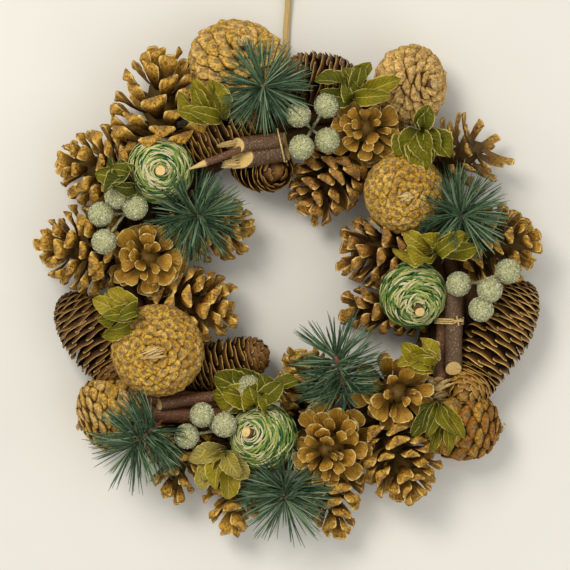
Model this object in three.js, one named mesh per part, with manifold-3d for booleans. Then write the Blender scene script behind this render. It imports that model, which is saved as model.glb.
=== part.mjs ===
// A pine cone wreath, lying on its back with its front up (+Z). Millimetres.
// A ring of twisted willow rods carries cones, twine balls, berries, bark twigs, leaf clumps and needle sprays.
import * as THREE from "three";
import { ConvexGeometry } from "three/addons/geometries/ConvexGeometry.js";
import { ParametricGeometry } from "three/addons/geometries/ParametricGeometry.js";
import { ConvexHull } from "three/addons/math/ConvexHull.js";
import { mergeVertices } from "three/addons/utils/BufferGeometryUtils.js";
import Module from "manifold-3d";

const wasm = await Module();
wasm.setup();

// Driving dimensions
const GAP = 0.35; // clear space between two pieces
const RING_CENTRE = new THREE.Vector3(4, 0, 10);
const RING_RADIUS = 112; // middle of the rods
const RING_HALF_WIDTH = 20;
const RING_HALF_HEIGHT = 16;
const RING_RODS = 4; // rods seen round the section
const RING_TWISTS = 6; // turns of a rod on its way round
const ROD_VALLEY = 0.84; // reach of the valleys between rods, as a share of the rods' own
const BALL_RADIUS = 23;
const BERRY_RADIUS = 8.7;
const NEEDLE_LENGTH = 31;
const NEEDLES_A_SPRAY = 52;
const SEAT_REACH = 13; // how far from the middle of the rods a stem may go in
const WIRE_RADIUS = 1.5; // of the wires that berries and sprays stand on
const SHORTEST_SCALE = 4;
const LEAF_THICKNESS = 0.9;
const LEAF_STEP = 3.2; // from one leaf to the next along its stem
const HANGER_RADIUS = 2.7;

const GOLDEN_TURN = Math.PI * (3 - Math.sqrt(5));

const COLOURS = {
  ring: "#5b4330",
  hanger: "#c9a96a",
  openCone: "#8a6a34",
  darkCone: "#6b4a30",
  greyCone: "#857458",
  closedCone: "#a58a52",
  paleCone: "#b59b76",
  redCone: "#8a5a34",
  roseCone: "#9a7a3a",
  spruceCone: "#86662f",
  ball: "#5f9a5c",
  berry: "#9fb3a6",
  twig: "#5e3b2b",
  spray: "#23473f",
  leaf: "#7c8440",
};

// Joining, cutting and placing

function solid(geometry) {
  const bare = geometry.clone();
  bare.deleteAttribute("normal");
  bare.deleteAttribute("uv");
  const merged = mergeVertices(bare, 1e-4);
  const corners = merged.index.array;
  const faces = [];
  for (let i = 0; i < corners.length; i += 3) {
    const [a, b, c] = [corners[i], corners[i + 1], corners[i + 2]];
    if (a !== b && b !== c && c !== a) faces.push(a, b, c);
  }
  const mesh = new wasm.Mesh({
    numProp: 3,
    vertProperties: new Float32Array(merged.attributes.position.array),
    triVerts: new Uint32Array(faces),
  });
  return new wasm.Manifold(mesh);
}

function geometryOf(body) {
  const mesh = body.getMesh();
  const geometry = new THREE.BufferGeometry();
  geometry.setAttribute("position", new THREE.BufferAttribute(mesh.vertProperties, 3));
  geometry.setIndex(new THREE.BufferAttribute(mesh.triVerts, 1));
  return geometry;
}

function fuse(geometries) {
  const bodies = geometries.map(solid);
  return bodies.slice(1).reduce((whole, body) => whole.add(body), bodies[0]);
}

function largestBody(body) {
  const bodies = body.decompose();
  return bodies.reduce((best, one) => (one.volume() > best.volume() ? one : best), bodies[0]);
}

const at = (x, y, z) => new THREE.Vector3(x, y, z);

// Puts the local +Z axis on the line from base to tip.
function placing(base, tip) {
  const turn = new THREE.Quaternion().setFromUnitVectors(at(0, 0, 1), tip.clone().sub(base).normalize());
  return new THREE.Matrix4().makeRotationFromQuaternion(turn).setPosition(base);
}

function placeAlong(geometry, base, tip) {
  return geometry.applyMatrix4(placing(base, tip));
}

function pointsOf(geometry) {
  const places = geometry.attributes.position;
  return Array.from({ length: places.count }, (_, i) => new THREE.Vector3().fromBufferAttribute(places, i));
}

// The space that a piece takes: the tight convex body round it, each face moved out by GAP
function envelope(geometry) {
  const points = pointsOf(geometry);
  const middle = points.reduce((sum, p) => sum.add(p), at(0, 0, 0)).divideScalar(points.length);
  const planes = new ConvexHull().setFromPoints(points).faces.map((face) => ({
    normal: face.normal.clone(),
    reach: face.constant - face.normal.dot(middle) + GAP,
  }));
  const duals = planes.map((plane) => plane.normal.clone().divideScalar(plane.reach));
  const corners = new ConvexHull().setFromPoints(duals).faces.map((face) => {
    return face.normal.clone().divideScalar(face.constant).add(middle);
  });
  return {
    core: solid(geometry),
    body: solid(new ConvexGeometry(corners)),
    holds: (point) => planes.every((p) => p.normal.dot(point) - p.normal.dot(middle) < p.reach),
  };
}

// Base ring: willow rods twisted together, pressed flat where the ring lies on the table

function ringGeometry(extra) {
  const section = RING_RODS * 2;
  const steps = RING_RODS * RING_TWISTS;
  const place = (u, v, target) => {
    const way = u * 2 * Math.PI;
    const twist = (way * RING_TWISTS) / RING_RODS;
    const side = v * 2 * Math.PI;
    const depth = Math.round(v * section) % 2 ? ROD_VALLEY : 1;
    const reach = RING_RADIUS + (RING_HALF_WIDTH * depth + extra) * Math.cos(side + twist);
    const height = RING_CENTRE.z + (RING_HALF_HEIGHT * depth + extra) * Math.sin(side + twist);
    target.set(
      RING_CENTRE.x + reach * Math.cos(way),
      RING_CENTRE.y + reach * Math.sin(way),
      Math.max(height, extra ? -5 : 0),
    );
  };
  return new ParametricGeometry(place, steps, section);
}

const RING_SPACE = {
  core: solid(ringGeometry(0)),
  body: solid(ringGeometry(GAP * 1.2)),
  holds: (point) => {
    const side = Math.hypot(point.x - RING_CENTRE.x, point.y - RING_CENTRE.y) - RING_RADIUS;
    return Math.hypot(side / RING_HALF_WIDTH, (point.z - RING_CENTRE.z) / RING_HALF_HEIGHT) < 1;
  },
};

// Cones: a body whose surface is shared out in spirals into one cell for each scale, the scale drawn out of its cell

// Points in spirals round the Z axis: radiusOf(way) and heightOf(way) go from the base (0) to the tip (1)
function spiralPoints(count, radiusOf, heightOf) {
  return Array.from({ length: count }, (_, i) => {
    const way = (i + 0.5) / count;
    const turn = i * GOLDEN_TURN;
    return at(radiusOf(way) * Math.cos(turn), radiusOf(way) * Math.sin(turn), heightOf(way));
  });
}

const edgesOf = (face) => [face.edge, face.edge.next, face.edge.prev];

// The cell of each point: the ring of corners round it, each corner in the middle of three neighbouring points
function cellsOf(points, sink) {
  const hull = new ConvexHull().setFromPoints(points);
  const corners = [];
  const cornerOf = new Map();
  hull.faces.forEach((face) => {
    const foot = edgesOf(face).reduce((sum, edge) => sum.add(edge.head().point), at(0, 0, 0)).divideScalar(3);
    cornerOf.set(face, corners.length);
    corners.push(foot.addScaledVector(face.normal, -sink));
  });
  const next = new Map(points.map((point) => [point, new Map()]));
  hull.faces.forEach((face) =>
    edgesOf(face).forEach((edge) => next.get(edge.tail().point).set(cornerOf.get(edge.twin.face), cornerOf.get(face))),
  );
  const cells = points.map((point) => {
    const links = next.get(point);
    const ring = [links.keys().next().value];
    while (ring.length < links.size) ring.push(links.get(ring[ring.length - 1]));
    return ring;
  });
  return { corners, cells };
}

// Joins a ring of corners to the ring of a scale's end, both in turn round the scale
function bridge(ring, end, angleOf) {
  const start = (loop) => {
    const first = loop.reduce((best, number, i) => (angleOf(number) < angleOf(loop[best]) ? i : best), 0);
    return [...loop.slice(first), ...loop.slice(0, first)];
  };
  const [outer, inner] = [start(ring), start(end)];
  const ahead = (loop, i) => angleOf(loop[(i + 1) % loop.length]) + (i + 1 >= loop.length ? 2 * Math.PI : 0);
  const faces = [];
  let [i, j] = [0, 0];
  while (i < outer.length || j < inner.length) {
    const stepOuter = i < outer.length && (j >= inner.length || ahead(outer, i) <= ahead(inner, j));
    if (stepOuter) faces.push(outer[i], outer[(i + 1) % outer.length], inner[j % inner.length]);
    else faces.push(outer[i % outer.length], inner[(j + 1) % inner.length], inner[j]);
    if (stepOuter) i += 1;
    else j += 1;
  }
  return faces;
}

function shellOf(corners, faces) {
  const shell = new THREE.BufferGeometry().setFromPoints(corners);
  return shell.setIndex(faces);
}

// Opened pine cone: each scale is drawn out to a thick diamond end, outwards at the base and upwards at the tip.
// isFree tells whether there is room for it at a point.
function openCone({ length, width, scales, scaleWidth, thickness }, isFree) {
  const coreOf = (way) => width * 0.15 * Math.sqrt(Math.max(0.02, 1 - Math.pow(2 * way - 1, 2)));
  const points = spiralPoints(scales, coreOf, (way) => length * (0.04 + 0.74 * way));
  const { corners, cells } = cellsOf(points, 0.4);
  const faces = [];
  points.forEach((point, i) => {
    const way = (i + 0.5) / scales;
    const out = at(point.x, point.y, 0).normalize();
    const across = at(-out.y, out.x, 0);
    const spread = (width / 2) * Math.pow(Math.sin(Math.PI * (0.3 + 0.66 * way)), 0.8);
    const end = out.clone().multiplyScalar(spread).setZ(length * (0.12 + 0.86 * Math.pow(way, 0.85)));
    const reach = end.distanceTo(point);
    while (!isFree(end) && end.distanceTo(point) > SHORTEST_SCALE) end.lerp(point, 0.12);
    const kept = end.distanceTo(point) / reach;
    const along = end.clone().sub(point).normalize();
    const face = along.clone().cross(across);
    const side = (scaleWidth / 2) * (1 - 0.5 * way) * kept;
    const half = (thickness / 2) * (1 - 0.4 * way) * kept;
    const shape = [[side, 0, -2.5], [0, half, -0.6], [-side, 0, -2.5], [0, -half, 0]];
    const first = corners.length;
    shape.forEach(([x, y, z]) => {
      corners.push(end.clone().addScaledVector(across, x).addScaledVector(face, y).addScaledVector(along, z));
    });
    const angleOf = (number) => {
      const spoke = corners[number].clone().sub(point);
      return Math.atan2(spoke.dot(face), spoke.dot(across));
    };
    faces.push(...bridge(cells[i], [first, first + 1, first + 2, first + 3], angleOf));
    faces.push(first, first + 1, first + 2, first, first + 2, first + 3);
  });
  return shellOf(corners, faces);
}

// Closed and spruce cones: each scale is a low shield, or a shingle leaning to the tip
function closedCone({ length, width, scales, baseShare, raise, sink, lean, stalk }) {
  const radiusOf = (way) => (width / 2 - raise) * Math.sqrt(1 - Math.pow(2 * way - 1, 2));
  const heightOf = (way) => {
    const up = 2 * way - 1;
    return length * (up < 0 ? baseShare * (1 + up) : baseShare + (1 - baseShare) * up);
  };
  const points = spiralPoints(scales, radiusOf, heightOf);
  const middle = at(0, 0, baseShare * length);
  const { corners, cells } = cellsOf(points, sink);
  const faces = [];
  points.forEach((point, i) => {
    const peak = corners.length;
    corners.push(point.clone().addScaledVector(point.clone().sub(middle).normalize(), raise).add(at(0, 0, lean)));
    cells[i].forEach((corner, k) => faces.push(corner, cells[i][(k + 1) % cells[i].length], peak));
  });
  const shell = shellOf(corners, faces);
  if (!stalk) return shell;
  return geometryOf(fuse([shell, new THREE.CylinderGeometry(stalk, stalk, 9, 6).rotateX(Math.PI / 2)]));
}

// Twine ball: cord wound in rings round a bark stick

function twineBall() {
  const winds = 6;
  const profile = [new THREE.Vector2(0, -BALL_RADIUS)];
  for (let i = 1; i < winds * 2; i++) {
    const angle = -Math.PI / 2 + (i / (winds * 2)) * Math.PI;
    const reach = BALL_RADIUS - (i % 2 ? 0 : 1.8);
    profile.push(new THREE.Vector2(reach * Math.cos(angle), reach * Math.sin(angle)));
  }
  profile.push(new THREE.Vector2(0, BALL_RADIUS - 3));
  return new THREE.LatheGeometry(profile, 10).rotateX(Math.PI / 2);
}

// A straight round piece between two points
function rod(from, to, radius, endRadius = radius, sides = 6) {
  const length = from.distanceTo(to);
  const shape = new THREE.CylinderGeometry(endRadius, radius, length, sides).rotateX(Math.PI / 2);
  return placeAlong(shape.translate(0, 0, length / 2), from, to);
}

// Spray of needles: a slim stem whose every facet is drawn out to a needle. endOf gives the needle's far end.
function spray(foot, end, endOf) {
  const way = end.clone().sub(foot);
  const stemRadius = 2.6;
  const radiusOf = (step) => stemRadius * Math.sqrt(1 - Math.pow(2 * step - 1, 2));
  const points = spiralPoints(NEEDLES_A_SPRAY / 2 + 2, radiusOf, (step) => way.length() * step);
  const hull = new ConvexHull().setFromPoints(points);
  const corners = [...points];
  const faces = [];
  hull.faces.forEach((face) => {
    const ring = edgesOf(face).map((edge) => edge.head().point);
    const root = ring[0].clone().add(ring[1]).add(ring[2]).divideScalar(3);
    const tip = corners.length;
    corners.push(endOf(root, way.length()));
    const [a, b, c] = ring.map((point) => points.indexOf(point));
    faces.push(a, b, tip, b, c, tip, c, a, tip);
  });
  return placeAlong(shellOf(corners, faces), foot, end);
}

// Dried leaf with a waved edge, root at the origin, pointing along +X
function leafBlade(length, width, curl) {
  const halves = [0.1, 0.8, 0.9, 0.8, 0.1];
  const last = halves.length - 1;
  const top = halves.flatMap((half, i) => {
    const way = i / last;
    const rise = curl * Math.sin(way * Math.PI);
    const wave = i % 2 ? 1.6 : -0.8;
    const reach = (width / 2) * half;
    return [at(length * way, -reach, rise + wave * half), at(length * way, reach, rise - wave * half)];
  });
  const count = top.length;
  const corners = [...top, ...top.map((point) => point.clone().add(at(0, 0, -LEAF_THICKNESS)))];
  const faces = [];
  const add = (a, b, c) => faces.push(a, b, c, a + count, c + count, b + count);
  for (let corner = 0; corner < 2 * last; corner += 2) {
    add(corner, corner + 2, corner + 1);
    add(corner + 1, corner + 2, corner + 3);
  }
  const evens = Array.from({ length: last + 1 }, (_, i) => 2 * i);
  const rim = [...evens, ...evens.map((i) => i + 1).reverse()];
  rim.forEach((a, i) => {
    const b = rim[(i + 1) % rim.length];
    faces.push(b, a, b + count, b + count, a, a + count);
  });
  return shellOf(corners, faces);
}

// Assembly. Places are measured from the middle of the wreath as seen from the front. Each piece is cut clear of
// the pieces listed before it, so those that lie on top come first.

const wreath = new THREE.Group();
const taken = [];
const isFree = (point) => !taken.some((space) => space.holds(point));

function openConeBetween(base, tip, sizes) {
  const place = placing(base, tip);
  const length = base.distanceTo(tip);
  const cone = openCone({ length, ...sizes }, (point) => isFree(point.clone().applyMatrix4(place)));
  return cone.applyMatrix4(place);
}

function finish(colour, roughness) {
  return new THREE.MeshStandardMaterial({ color: colour, roughness, metalness: 0 });
}

function boxOf(body) {
  const { min, max } = body.boundingBox();
  return new THREE.Box3(at(...min), at(...max));
}

// The place on the ring where the stem or wire of a piece goes in
function ringSeat(point) {
  const away = at(point.x - RING_CENTRE.x, point.y - RING_CENTRE.y, 0);
  const reach = THREE.MathUtils.clamp(away.length(), RING_RADIUS - SEAT_REACH, RING_RADIUS + SEAT_REACH);
  return away.setLength(reach).add(RING_CENTRE).setZ(RING_CENTRE.z + 7);
}

function addPiece(name, shape, material, spaces) {
  const box = boxOf(shape);
  const near = taken.filter((space) => space.box.intersectsBox(box) && shape.minGap(space.core, GAP) < GAP * 0.95);
  const body = near.reduce((left, space) => left.subtract(space.body), shape);
  const mesh = new THREE.Mesh(geometryOf(largestBody(body)), material);
  mesh.name = name;
  wreath.add(mesh);
  spaces.forEach((space) => taken.push({ ...space, box: boxOf(space.body) }));
}

addPiece("willow_ring", solid(ringGeometry(0)), finish(COLOURS.ring, 0.9), [RING_SPACE]);

// Bundles of bark twigs: [from, to, radius] for each twig, which touch and are glued side by side
const TWIGS = {
  twigs_top: [
    [at(-36, 91.5, 56), at(-4, 95.5, 56), 5.5],
    [at(-32, 83.5, 51), at(-2.5, 88, 51), 6.8],
    [at(-69, 75.5, 57), at(-14, 92, 56), 2.6],
  ],
  twigs_bottom: [
    [at(-109.5, -80, 34), at(-38, -81.5, 34), 5.6],
    [at(-108, -90, 33), at(-40, -92.5, 32), 6.2],
    [at(-90, -84, 41), at(-38, -77, 38), 4.2],
  ],
  twigs_right: [
    [at(110.5, -12, 45), at(110.5, -59.5, 45), 6.1],
    [at(104.5, -24, 37), at(101, -69, 37), 4.8],
    [at(106.5, -36, 30), at(104, -79, 29.5), 5],
  ],
};

Object.entries(TWIGS).forEach(([name, twigs]) => {
  const pieces = twigs.map(([from, to, radius]) => rod(from, to, radius, radius * 0.94, 8));
  addPiece(name, fuse(pieces), finish(COLOURS.twig, 0.7), pieces.map(envelope));
});

// Twine balls: [middle, direction of the bark stick]
const BALLS = {
  twine_ball_top_left: [at(-89, 75.5, 47), at(0.06, -0.06, 1)],
  twine_ball_right: [at(83, -9, 43), at(0.15, -0.5, 1)],
  twine_ball_bottom: [at(-18.5, -106, 46), at(-0.5, 0.2, 1)],
};

Object.entries(BALLS).forEach(([name, [middle, lean]]) => {
  const way = lean.clone().normalize();
  const ball = placeAlong(twineBall(), middle, middle.clone().add(way));
  const stick = rod(middle, middle.clone().addScaledVector(way, BALL_RADIUS + 4), 4, 3.4);
  addPiece(name, fuse([ball, stick]), finish(COLOURS.ball, 0.85), [envelope(ball)]);
});

// Closed cones, seen from their cut stem: [base, tip, width, colour]
const CLOSED_CONES = {
  closed_cone_left: [at(-91.5, -48.5, 72), at(-89, -45, 20), 58, COLOURS.closedCone],
  closed_cone_right: [at(77.5, 57, 68), at(76, 64, 18), 50, COLOURS.closedCone],
  closed_cone_top: [at(-33, 160, 50), at(-40, 134, 16), 62, COLOURS.closedCone],
  closed_cone_top_right: [at(95, 134, 48), at(66, 134, 20), 50, COLOURS.paleCone],
  closed_cone_bottom_left: [at(-143, -99, 27), at(-101, -81, 20), 47, COLOURS.closedCone],
  closed_cone_bottom_right: [at(142, -101, 27), at(89, -97, 20), 41, COLOURS.redCone],
};

Object.entries(CLOSED_CONES).forEach(([name, [base, tip, width, colour]]) => {
  const length = base.distanceTo(tip);
  const sizes = { length, width, scales: 30, baseShare: 0.38, raise: 0.9, sink: 1.2, lean: 0, stalk: 3.2 };
  const cone = placeAlong(closedCone(sizes), base, tip);
  addPiece(name, solid(cone), finish(colour, 0.75), [envelope(cone)]);
});

// Opened cones seen from the tip, like roses: [base, tip, width]
const ROSE_CONES = {
  rose_cone_left: [at(-97, 15.5, 18), at(-97.5, 15, 69), 54],
  rose_cone_top: [at(52, 101, 18), at(50, 105, 68), 50],
  rose_cone_bottom: [at(33, -109, 18), at(20, -116, 69), 57],
  rose_cone_right: [at(67, -72, 18), at(74, -77.5, 66), 52],
};

Object.entries(ROSE_CONES).forEach(([name, [base, tip, width]]) => {
  const cone = openConeBetween(base, tip, { width, scales: 24, scaleWidth: 18, thickness: 5 });
  addPiece(name, solid(cone), finish(COLOURS.roseCone, 0.7), [envelope(cone)]);
});

// Spruce cones: [base, tip, width]
const SPRUCE_CONES = {
  spruce_cone_right: [at(161, -3, 26), at(114, -83, 28), 43],
  spruce_cone_left: [at(-156, -10, 25), at(-116, -69, 25), 41],
  spruce_cone_top_left: [at(-78, 88, 37), at(-18, 115, 36), 37],
  spruce_cone_top: [at(48, 133, 24), at(-4, 145, 24), 37],
  spruce_cone_inner_top: [at(-38, 89, 16), at(-5.5, 75, 45), 34],
  spruce_cone_inner_bottom: [at(-76, -66, 20), at(-15.5, -48.5, 28), 35],
};

Object.entries(SPRUCE_CONES).forEach(([name, [base, tip, width]]) => {
  const length = base.distanceTo(tip);
  const scales = Math.round(length * 0.44);
  const sizes = { length, width, scales, baseShare: 0.4, raise: 2, sink: 1.3, lean: 3.5, stalk: 0 };
  const cone = placeAlong(closedCone(sizes), base, tip);
  addPiece(name, solid(cone), finish(COLOURS.spruceCone, 0.7), [envelope(cone)]);
});

// Opened cones seen from the side or the tip: [base, tip, width, scales, colour]
const OPEN_CONES = {
  open_cone_top_left: [at(-88, 80, 28), at(-89, 160.5, 37), 63, 22, COLOURS.openCone],
  open_cone_left_upper: [at(-101, 70, 25), at(-163, 84, 35), 58, 20, COLOURS.openCone],
  open_cone_left: [at(-114, 19.5, 27), at(-175.5, 26, 35), 60, 20, COLOURS.openCone],
  open_cone_right: [at(122, 22, 20), at(165, 26, 48), 56, 20, COLOURS.openCone],
  open_cone_right_upper: [at(99, 74, 20), at(137.5, 98, 43), 52, 20, COLOURS.greyCone],
  open_cone_bottom_right: [at(62, -96, 20), at(85, -144, 46), 55, 19, COLOURS.openCone],
  open_cone_inner_left: [at(-94, -14, 24), at(-34.5, -18.5, 34), 50, 19, COLOURS.openCone],
  open_cone_inner_top: [at(44, 94, 18), at(7.5, 45, 32), 46, 20, COLOURS.darkCone],
  open_cone_inner_right: [at(101, 28, 22), at(30, 18, 34), 50, 18, COLOURS.darkCone],
  open_cone_inner_low_right: [at(100, -20, 20), at(30, -19.5, 24), 32, 15, COLOURS.darkCone],
  open_cone_inner_bottom: [at(14, -98, 18), at(8, -43.5, 28), 38, 15, COLOURS.openCone],
  open_cone_inner_upper_left: [at(-88, 43, 22), at(-24.5, 31.5, 28), 46, 15, COLOURS.redCone],
  open_cone_bottom_left: [at(-74, -96, 22), at(-82, -154, 28), 44, 16, COLOURS.openCone],
  open_cone_bottom: [at(-32, -115, 20), at(-43, -177, 28), 44, 17, COLOURS.openCone],
  open_cone_bottom_middle: [at(27, -117, 22), at(31.5, -177, 27), 41, 17, COLOURS.openCone],
};

Object.entries(OPEN_CONES).forEach(([name, [base, tip, width, scales, colour]]) => {
  const cone = openConeBetween(base, tip, { width, scales, scaleWidth: 13, thickness: 5 });
  addPiece(name, solid(cone), finish(colour, 0.75), [envelope(cone)]);
});

// Frosted berries on frosted stems: [where the stems meet, ...middles of the berries]
const BERRIES = {
  berries_top: [at(14, 103, 44), at(5, 112, 58), at(24, 118.5, 57), at(7, 90, 64), at(24.5, 95, 59)],
  berries_left: [at(-113, 46, 44), at(-117.5, 57, 58), at(-105, 49.5, 61), at(-128.5, 45, 57), at(-126, 26.5, 61)],
  berries_right: [at(127, -1, 45), at(113, -2, 60), at(146, 6.5, 62), at(133.5, -6, 65), at(128, -19, 61)],
  berries_bottom: [at(-53, -102, 46), at(-28, -71.5, 56), at(-60, -90.5, 57), at(-45, -97, 60), at(-70.5, -105, 54)],
};

Object.entries(BERRIES).forEach(([name, [hub, ...middles]]) => {
  const berries = middles.map((middle) => new THREE.IcosahedronGeometry(BERRY_RADIUS, 1).translate(...middle));
  const stems = middles.map((middle) => rod(hub, middle, WIRE_RADIUS, WIRE_RADIUS, 3));
  stems.push(rod(ringSeat(hub), hub, WIRE_RADIUS, WIRE_RADIUS, 3));
  addPiece(name, fuse([...stems, ...berries]), finish(COLOURS.berry, 0.5), [...berries, ...stems].map(envelope));
});

// Clumps of dried leaves on one short stem: [root, ...leaves], a leaf being [heading, pitch, length, width]
const LEAVES = {
  leaves_left_upper: [at(-108, 66, 50), [125, 12, 24, 13], [165, 8, 26, 13], [205, 5, 26, 13]],
  leaves_top_left: [at(-48, 109, 51), [102, 28, 30, 13], [124, 14, 33, 14], [146, 6, 34, 14], [170, 20, 30, 12]],
  leaves_top: [at(43, 124, 50), [158, 10, 30, 15], [112, 18, 22, 16], [66, 8, 26, 13], [20, 26, 36, 13]],
  leaves_right_upper: [at(87, 102, 52), [-118, 8, 26, 14], [-84, 16, 28, 15], [-44, 8, 28, 13], [70, 20, 18, 12]],
  leaves_left: [at(-106, -21, 50), [184, 18, 27, 12], [166, 4, 30, 14], [205, 6, 27, 13]],
  leaves_bottom_left: [at(-20, -80, 42), [150, 26, 30, 16], [176, 14, 30, 16], [92, 22, 24, 16], [28, 10, 26, 15]],
  leaves_right_low: [at(94, -58, 48), [110, 20, 22, 13], [142, 10, 25, 14], [176, 18, 24, 13]],
  leaves_bottom_right: [at(100, -82, 48), [-128, 8, 30, 11], [-102, 20, 36, 10], [-80, 4, 36, 11], [-56, 16, 30, 10]],
  leaves_bottom: [at(-44, -115, 42), [-152, 14, 27, 16], [-118, 4, 28, 17], [-84, 16, 30, 16], [-50, 6, 26, 15]],
  leaves_right: [at(98, 20, 52), [150, 20, 27, 13], [176, 8, 30, 12], [8, 8, 30, 12], [34, 22, 24, 12]],
};

Object.entries(LEAVES).forEach(([name, [root, ...leaves]]) => {
  const blades = leaves.map(([heading, pitch, length, width], i) => {
    const place = new THREE.Matrix4();
    const middleLine = [0.35, 0.6, 0.8, 1].map((share) => at(length * share, 0, 0));
    let lift = pitch;
    do {
      const turn = new THREE.Euler(0, -THREE.MathUtils.degToRad(lift), THREE.MathUtils.degToRad(heading), "ZYX");
      place.makeRotationFromEuler(turn).setPosition(root.clone().add(at(0, 0, i * LEAF_STEP)));
      lift += 5;
    } while (lift < 60 && !middleLine.every((point) => isFree(point.clone().applyMatrix4(place))));
    return leafBlade(length, width, 4).applyMatrix4(place);
  });
  const top = root.clone().add(at(0, 0, leaves.length * LEAF_STEP));
  const stem = rod(ringSeat(root), top, 1.6, 1.6, 3);
  addPiece(name, fuse([stem, ...blades]), finish(COLOURS.leaf, 0.8), blades.map(envelope));
});

// Needle sprays: [foot of the stem, its end]
const SPRAYS = {
  needles_top: [at(-18, 131, 50), at(-19, 131, 66)],
  needles_left_upper: [at(-73, 45, 40), at(-60, 44, 57)],
  needles_right_upper: [at(111, 49, 46), at(116, 43, 62)],
  needles_inner_bottom: [at(36, -63, 46), at(30, -43, 53)],
  needles_bottom_left: [at(-92, -99, 46), at(-108, -112, 54)],
  needles_bottom: [at(-5, -137, 44), at(-4, -149, 54)],
};

Object.entries(SPRAYS).forEach(([name, [foot, end]]) => {
  const place = placing(foot, end);
  let drawn = 0;
  const endOf = (root, stem) => {
    const share = root.z / stem;
    const open = THREE.MathUtils.degToRad(88 - 66 * share * share);
    const out = at(root.x, root.y, 0).normalize().multiplyScalar(Math.sin(open)).setZ(Math.cos(open));
    drawn += 1;
    let reach = NEEDLE_LENGTH * (1 + 0.14 * Math.sin(drawn * 2.7));
    const blocked = (far) => {
      const steps = [0.3, 0.45, 0.6, 0.75, 0.9, 1];
      return !steps.every((step) => isFree(root.clone().addScaledVector(out, far * step).applyMatrix4(place)));
    };
    while (blocked(reach) && reach > 3) reach -= 2;
    return root.clone().addScaledVector(out, reach);
  };
  const wire = rod(ringSeat(foot), foot.clone().lerp(end, 0.2), WIRE_RADIUS, WIRE_RADIUS, 3);
  addPiece(name, fuse([spray(foot, end, endOf), wire]), finish(COLOURS.spray, 0.6), []);
});

// Hanger: a raffia strand laid along the table, from the back of the ring to its knot above the wreath
const HANGER_ROUTE = [
  at(-3, 122, 4.2),
  at(-3, 130.5, 3.6),
  at(-3.2, 138, 3.2),
  at(-3.6, 147, 3.1),
  at(-3.8, 156, 3.1),
  at(-3.6, 165, 3.1),
  at(-3.2, 174, 3.1),
  at(-2.7, 183, 3.2),
  at(-2.2, 191.5, 3.8),
  at(-2, 198.6, 5),
];
const KNOT_CENTRE = at(-2, 204.5, 5.2);
const KNOT_SIZE = 2.5;
const KNOT_OPENING = 0.5;
const KNOT_STRAND = 1.7; // the raffia is drawn tight in the knot

function strand(points, radius, sides, steps) {
  const section = new THREE.Shape();
  section.absarc(0, 0, radius, 0, 2 * Math.PI);
  const outline = new THREE.Shape(section.getSpacedPoints(sides).slice(0, sides));
  const path = new THREE.CatmullRomCurve3(points);
  return new THREE.ExtrudeGeometry(outline, { steps, extrudePath: path, curveSegments: 1 });
}

const knotRoute = Array.from({ length: 21 }, (_, i) => {
  const turn = Math.PI + KNOT_OPENING + (i / 20) * 2 * (Math.PI - KNOT_OPENING);
  return at(
    KNOT_CENTRE.x + KNOT_SIZE * (Math.sin(turn) + 2 * Math.sin(2 * turn)),
    KNOT_CENTRE.y + KNOT_SIZE * (Math.cos(turn) - 2 * Math.cos(2 * turn)),
    KNOT_CENTRE.z - KNOT_SIZE * Math.sin(3 * turn),
  );
});

addPiece("hanger_knot", solid(strand(knotRoute, KNOT_STRAND, 6, 20)), finish(COLOURS.hanger, 0.8), []);
addPiece("raffia_hanger", solid(strand(HANGER_ROUTE, HANGER_RADIUS, 10, 9)), finish(COLOURS.hanger, 0.8), []);

// The origin: under the middle of the wreath, where it lies on the table
const cords = ["hanger_knot", "raffia_hanger"];
const extent = new THREE.Box3();
wreath.children.filter((mesh) => !cords.includes(mesh.name)).forEach((mesh) => extent.expandByObject(mesh, true));
const middle = extent.getCenter(at(0, 0, 0));
wreath.position.set(-middle.x, -middle.y, -extent.min.z);

export default wreath;
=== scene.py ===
import math
import random

import bpy
import numpy as np
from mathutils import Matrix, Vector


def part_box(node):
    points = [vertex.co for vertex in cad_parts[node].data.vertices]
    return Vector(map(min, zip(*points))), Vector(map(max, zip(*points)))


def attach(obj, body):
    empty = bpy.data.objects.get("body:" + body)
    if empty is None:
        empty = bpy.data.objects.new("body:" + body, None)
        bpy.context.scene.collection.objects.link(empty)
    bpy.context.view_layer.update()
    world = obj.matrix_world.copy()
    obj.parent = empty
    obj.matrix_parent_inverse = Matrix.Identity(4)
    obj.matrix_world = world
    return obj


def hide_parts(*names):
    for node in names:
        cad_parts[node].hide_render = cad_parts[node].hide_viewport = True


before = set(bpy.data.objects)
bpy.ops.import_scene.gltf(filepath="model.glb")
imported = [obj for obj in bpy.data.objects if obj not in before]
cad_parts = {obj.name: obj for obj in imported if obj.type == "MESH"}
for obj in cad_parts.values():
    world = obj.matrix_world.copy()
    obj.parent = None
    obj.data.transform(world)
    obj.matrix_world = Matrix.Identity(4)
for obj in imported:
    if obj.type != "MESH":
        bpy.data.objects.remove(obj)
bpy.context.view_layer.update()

# The table that the wreath lies on, the light over it and the camera straight above.
# A wide top, painted off-white and lit softly from the upper left. Tables hold sizes in millimetres, and
# places from the middle of the wreath, which is a little to the left of the middle of its ring.
MM = 0.001
RING_RIGHT_OF_MIDDLE = 4 * MM
ring_low, ring_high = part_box("willow_ring")
ring_x, ring_y = (ring_low.x + ring_high.x) / 2, (ring_low.y + ring_high.y) / 2
WREATH_MIDDLE = np.array([ring_x - RING_RIGHT_OF_MIDDLE, ring_y, 0])
TABLE_SIZE = 6000 * MM
PHOTO_PIXEL = 0.68 * MM
PHOTO_PIXELS = 570
CAMERA_HEIGHT = 1800 * MM
BELOW_CAMERA = (-4.1, -2.7)
FACE_HEIGHT = 45 * MM  # of the middle of the wreath's front
SENSOR = 36
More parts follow.
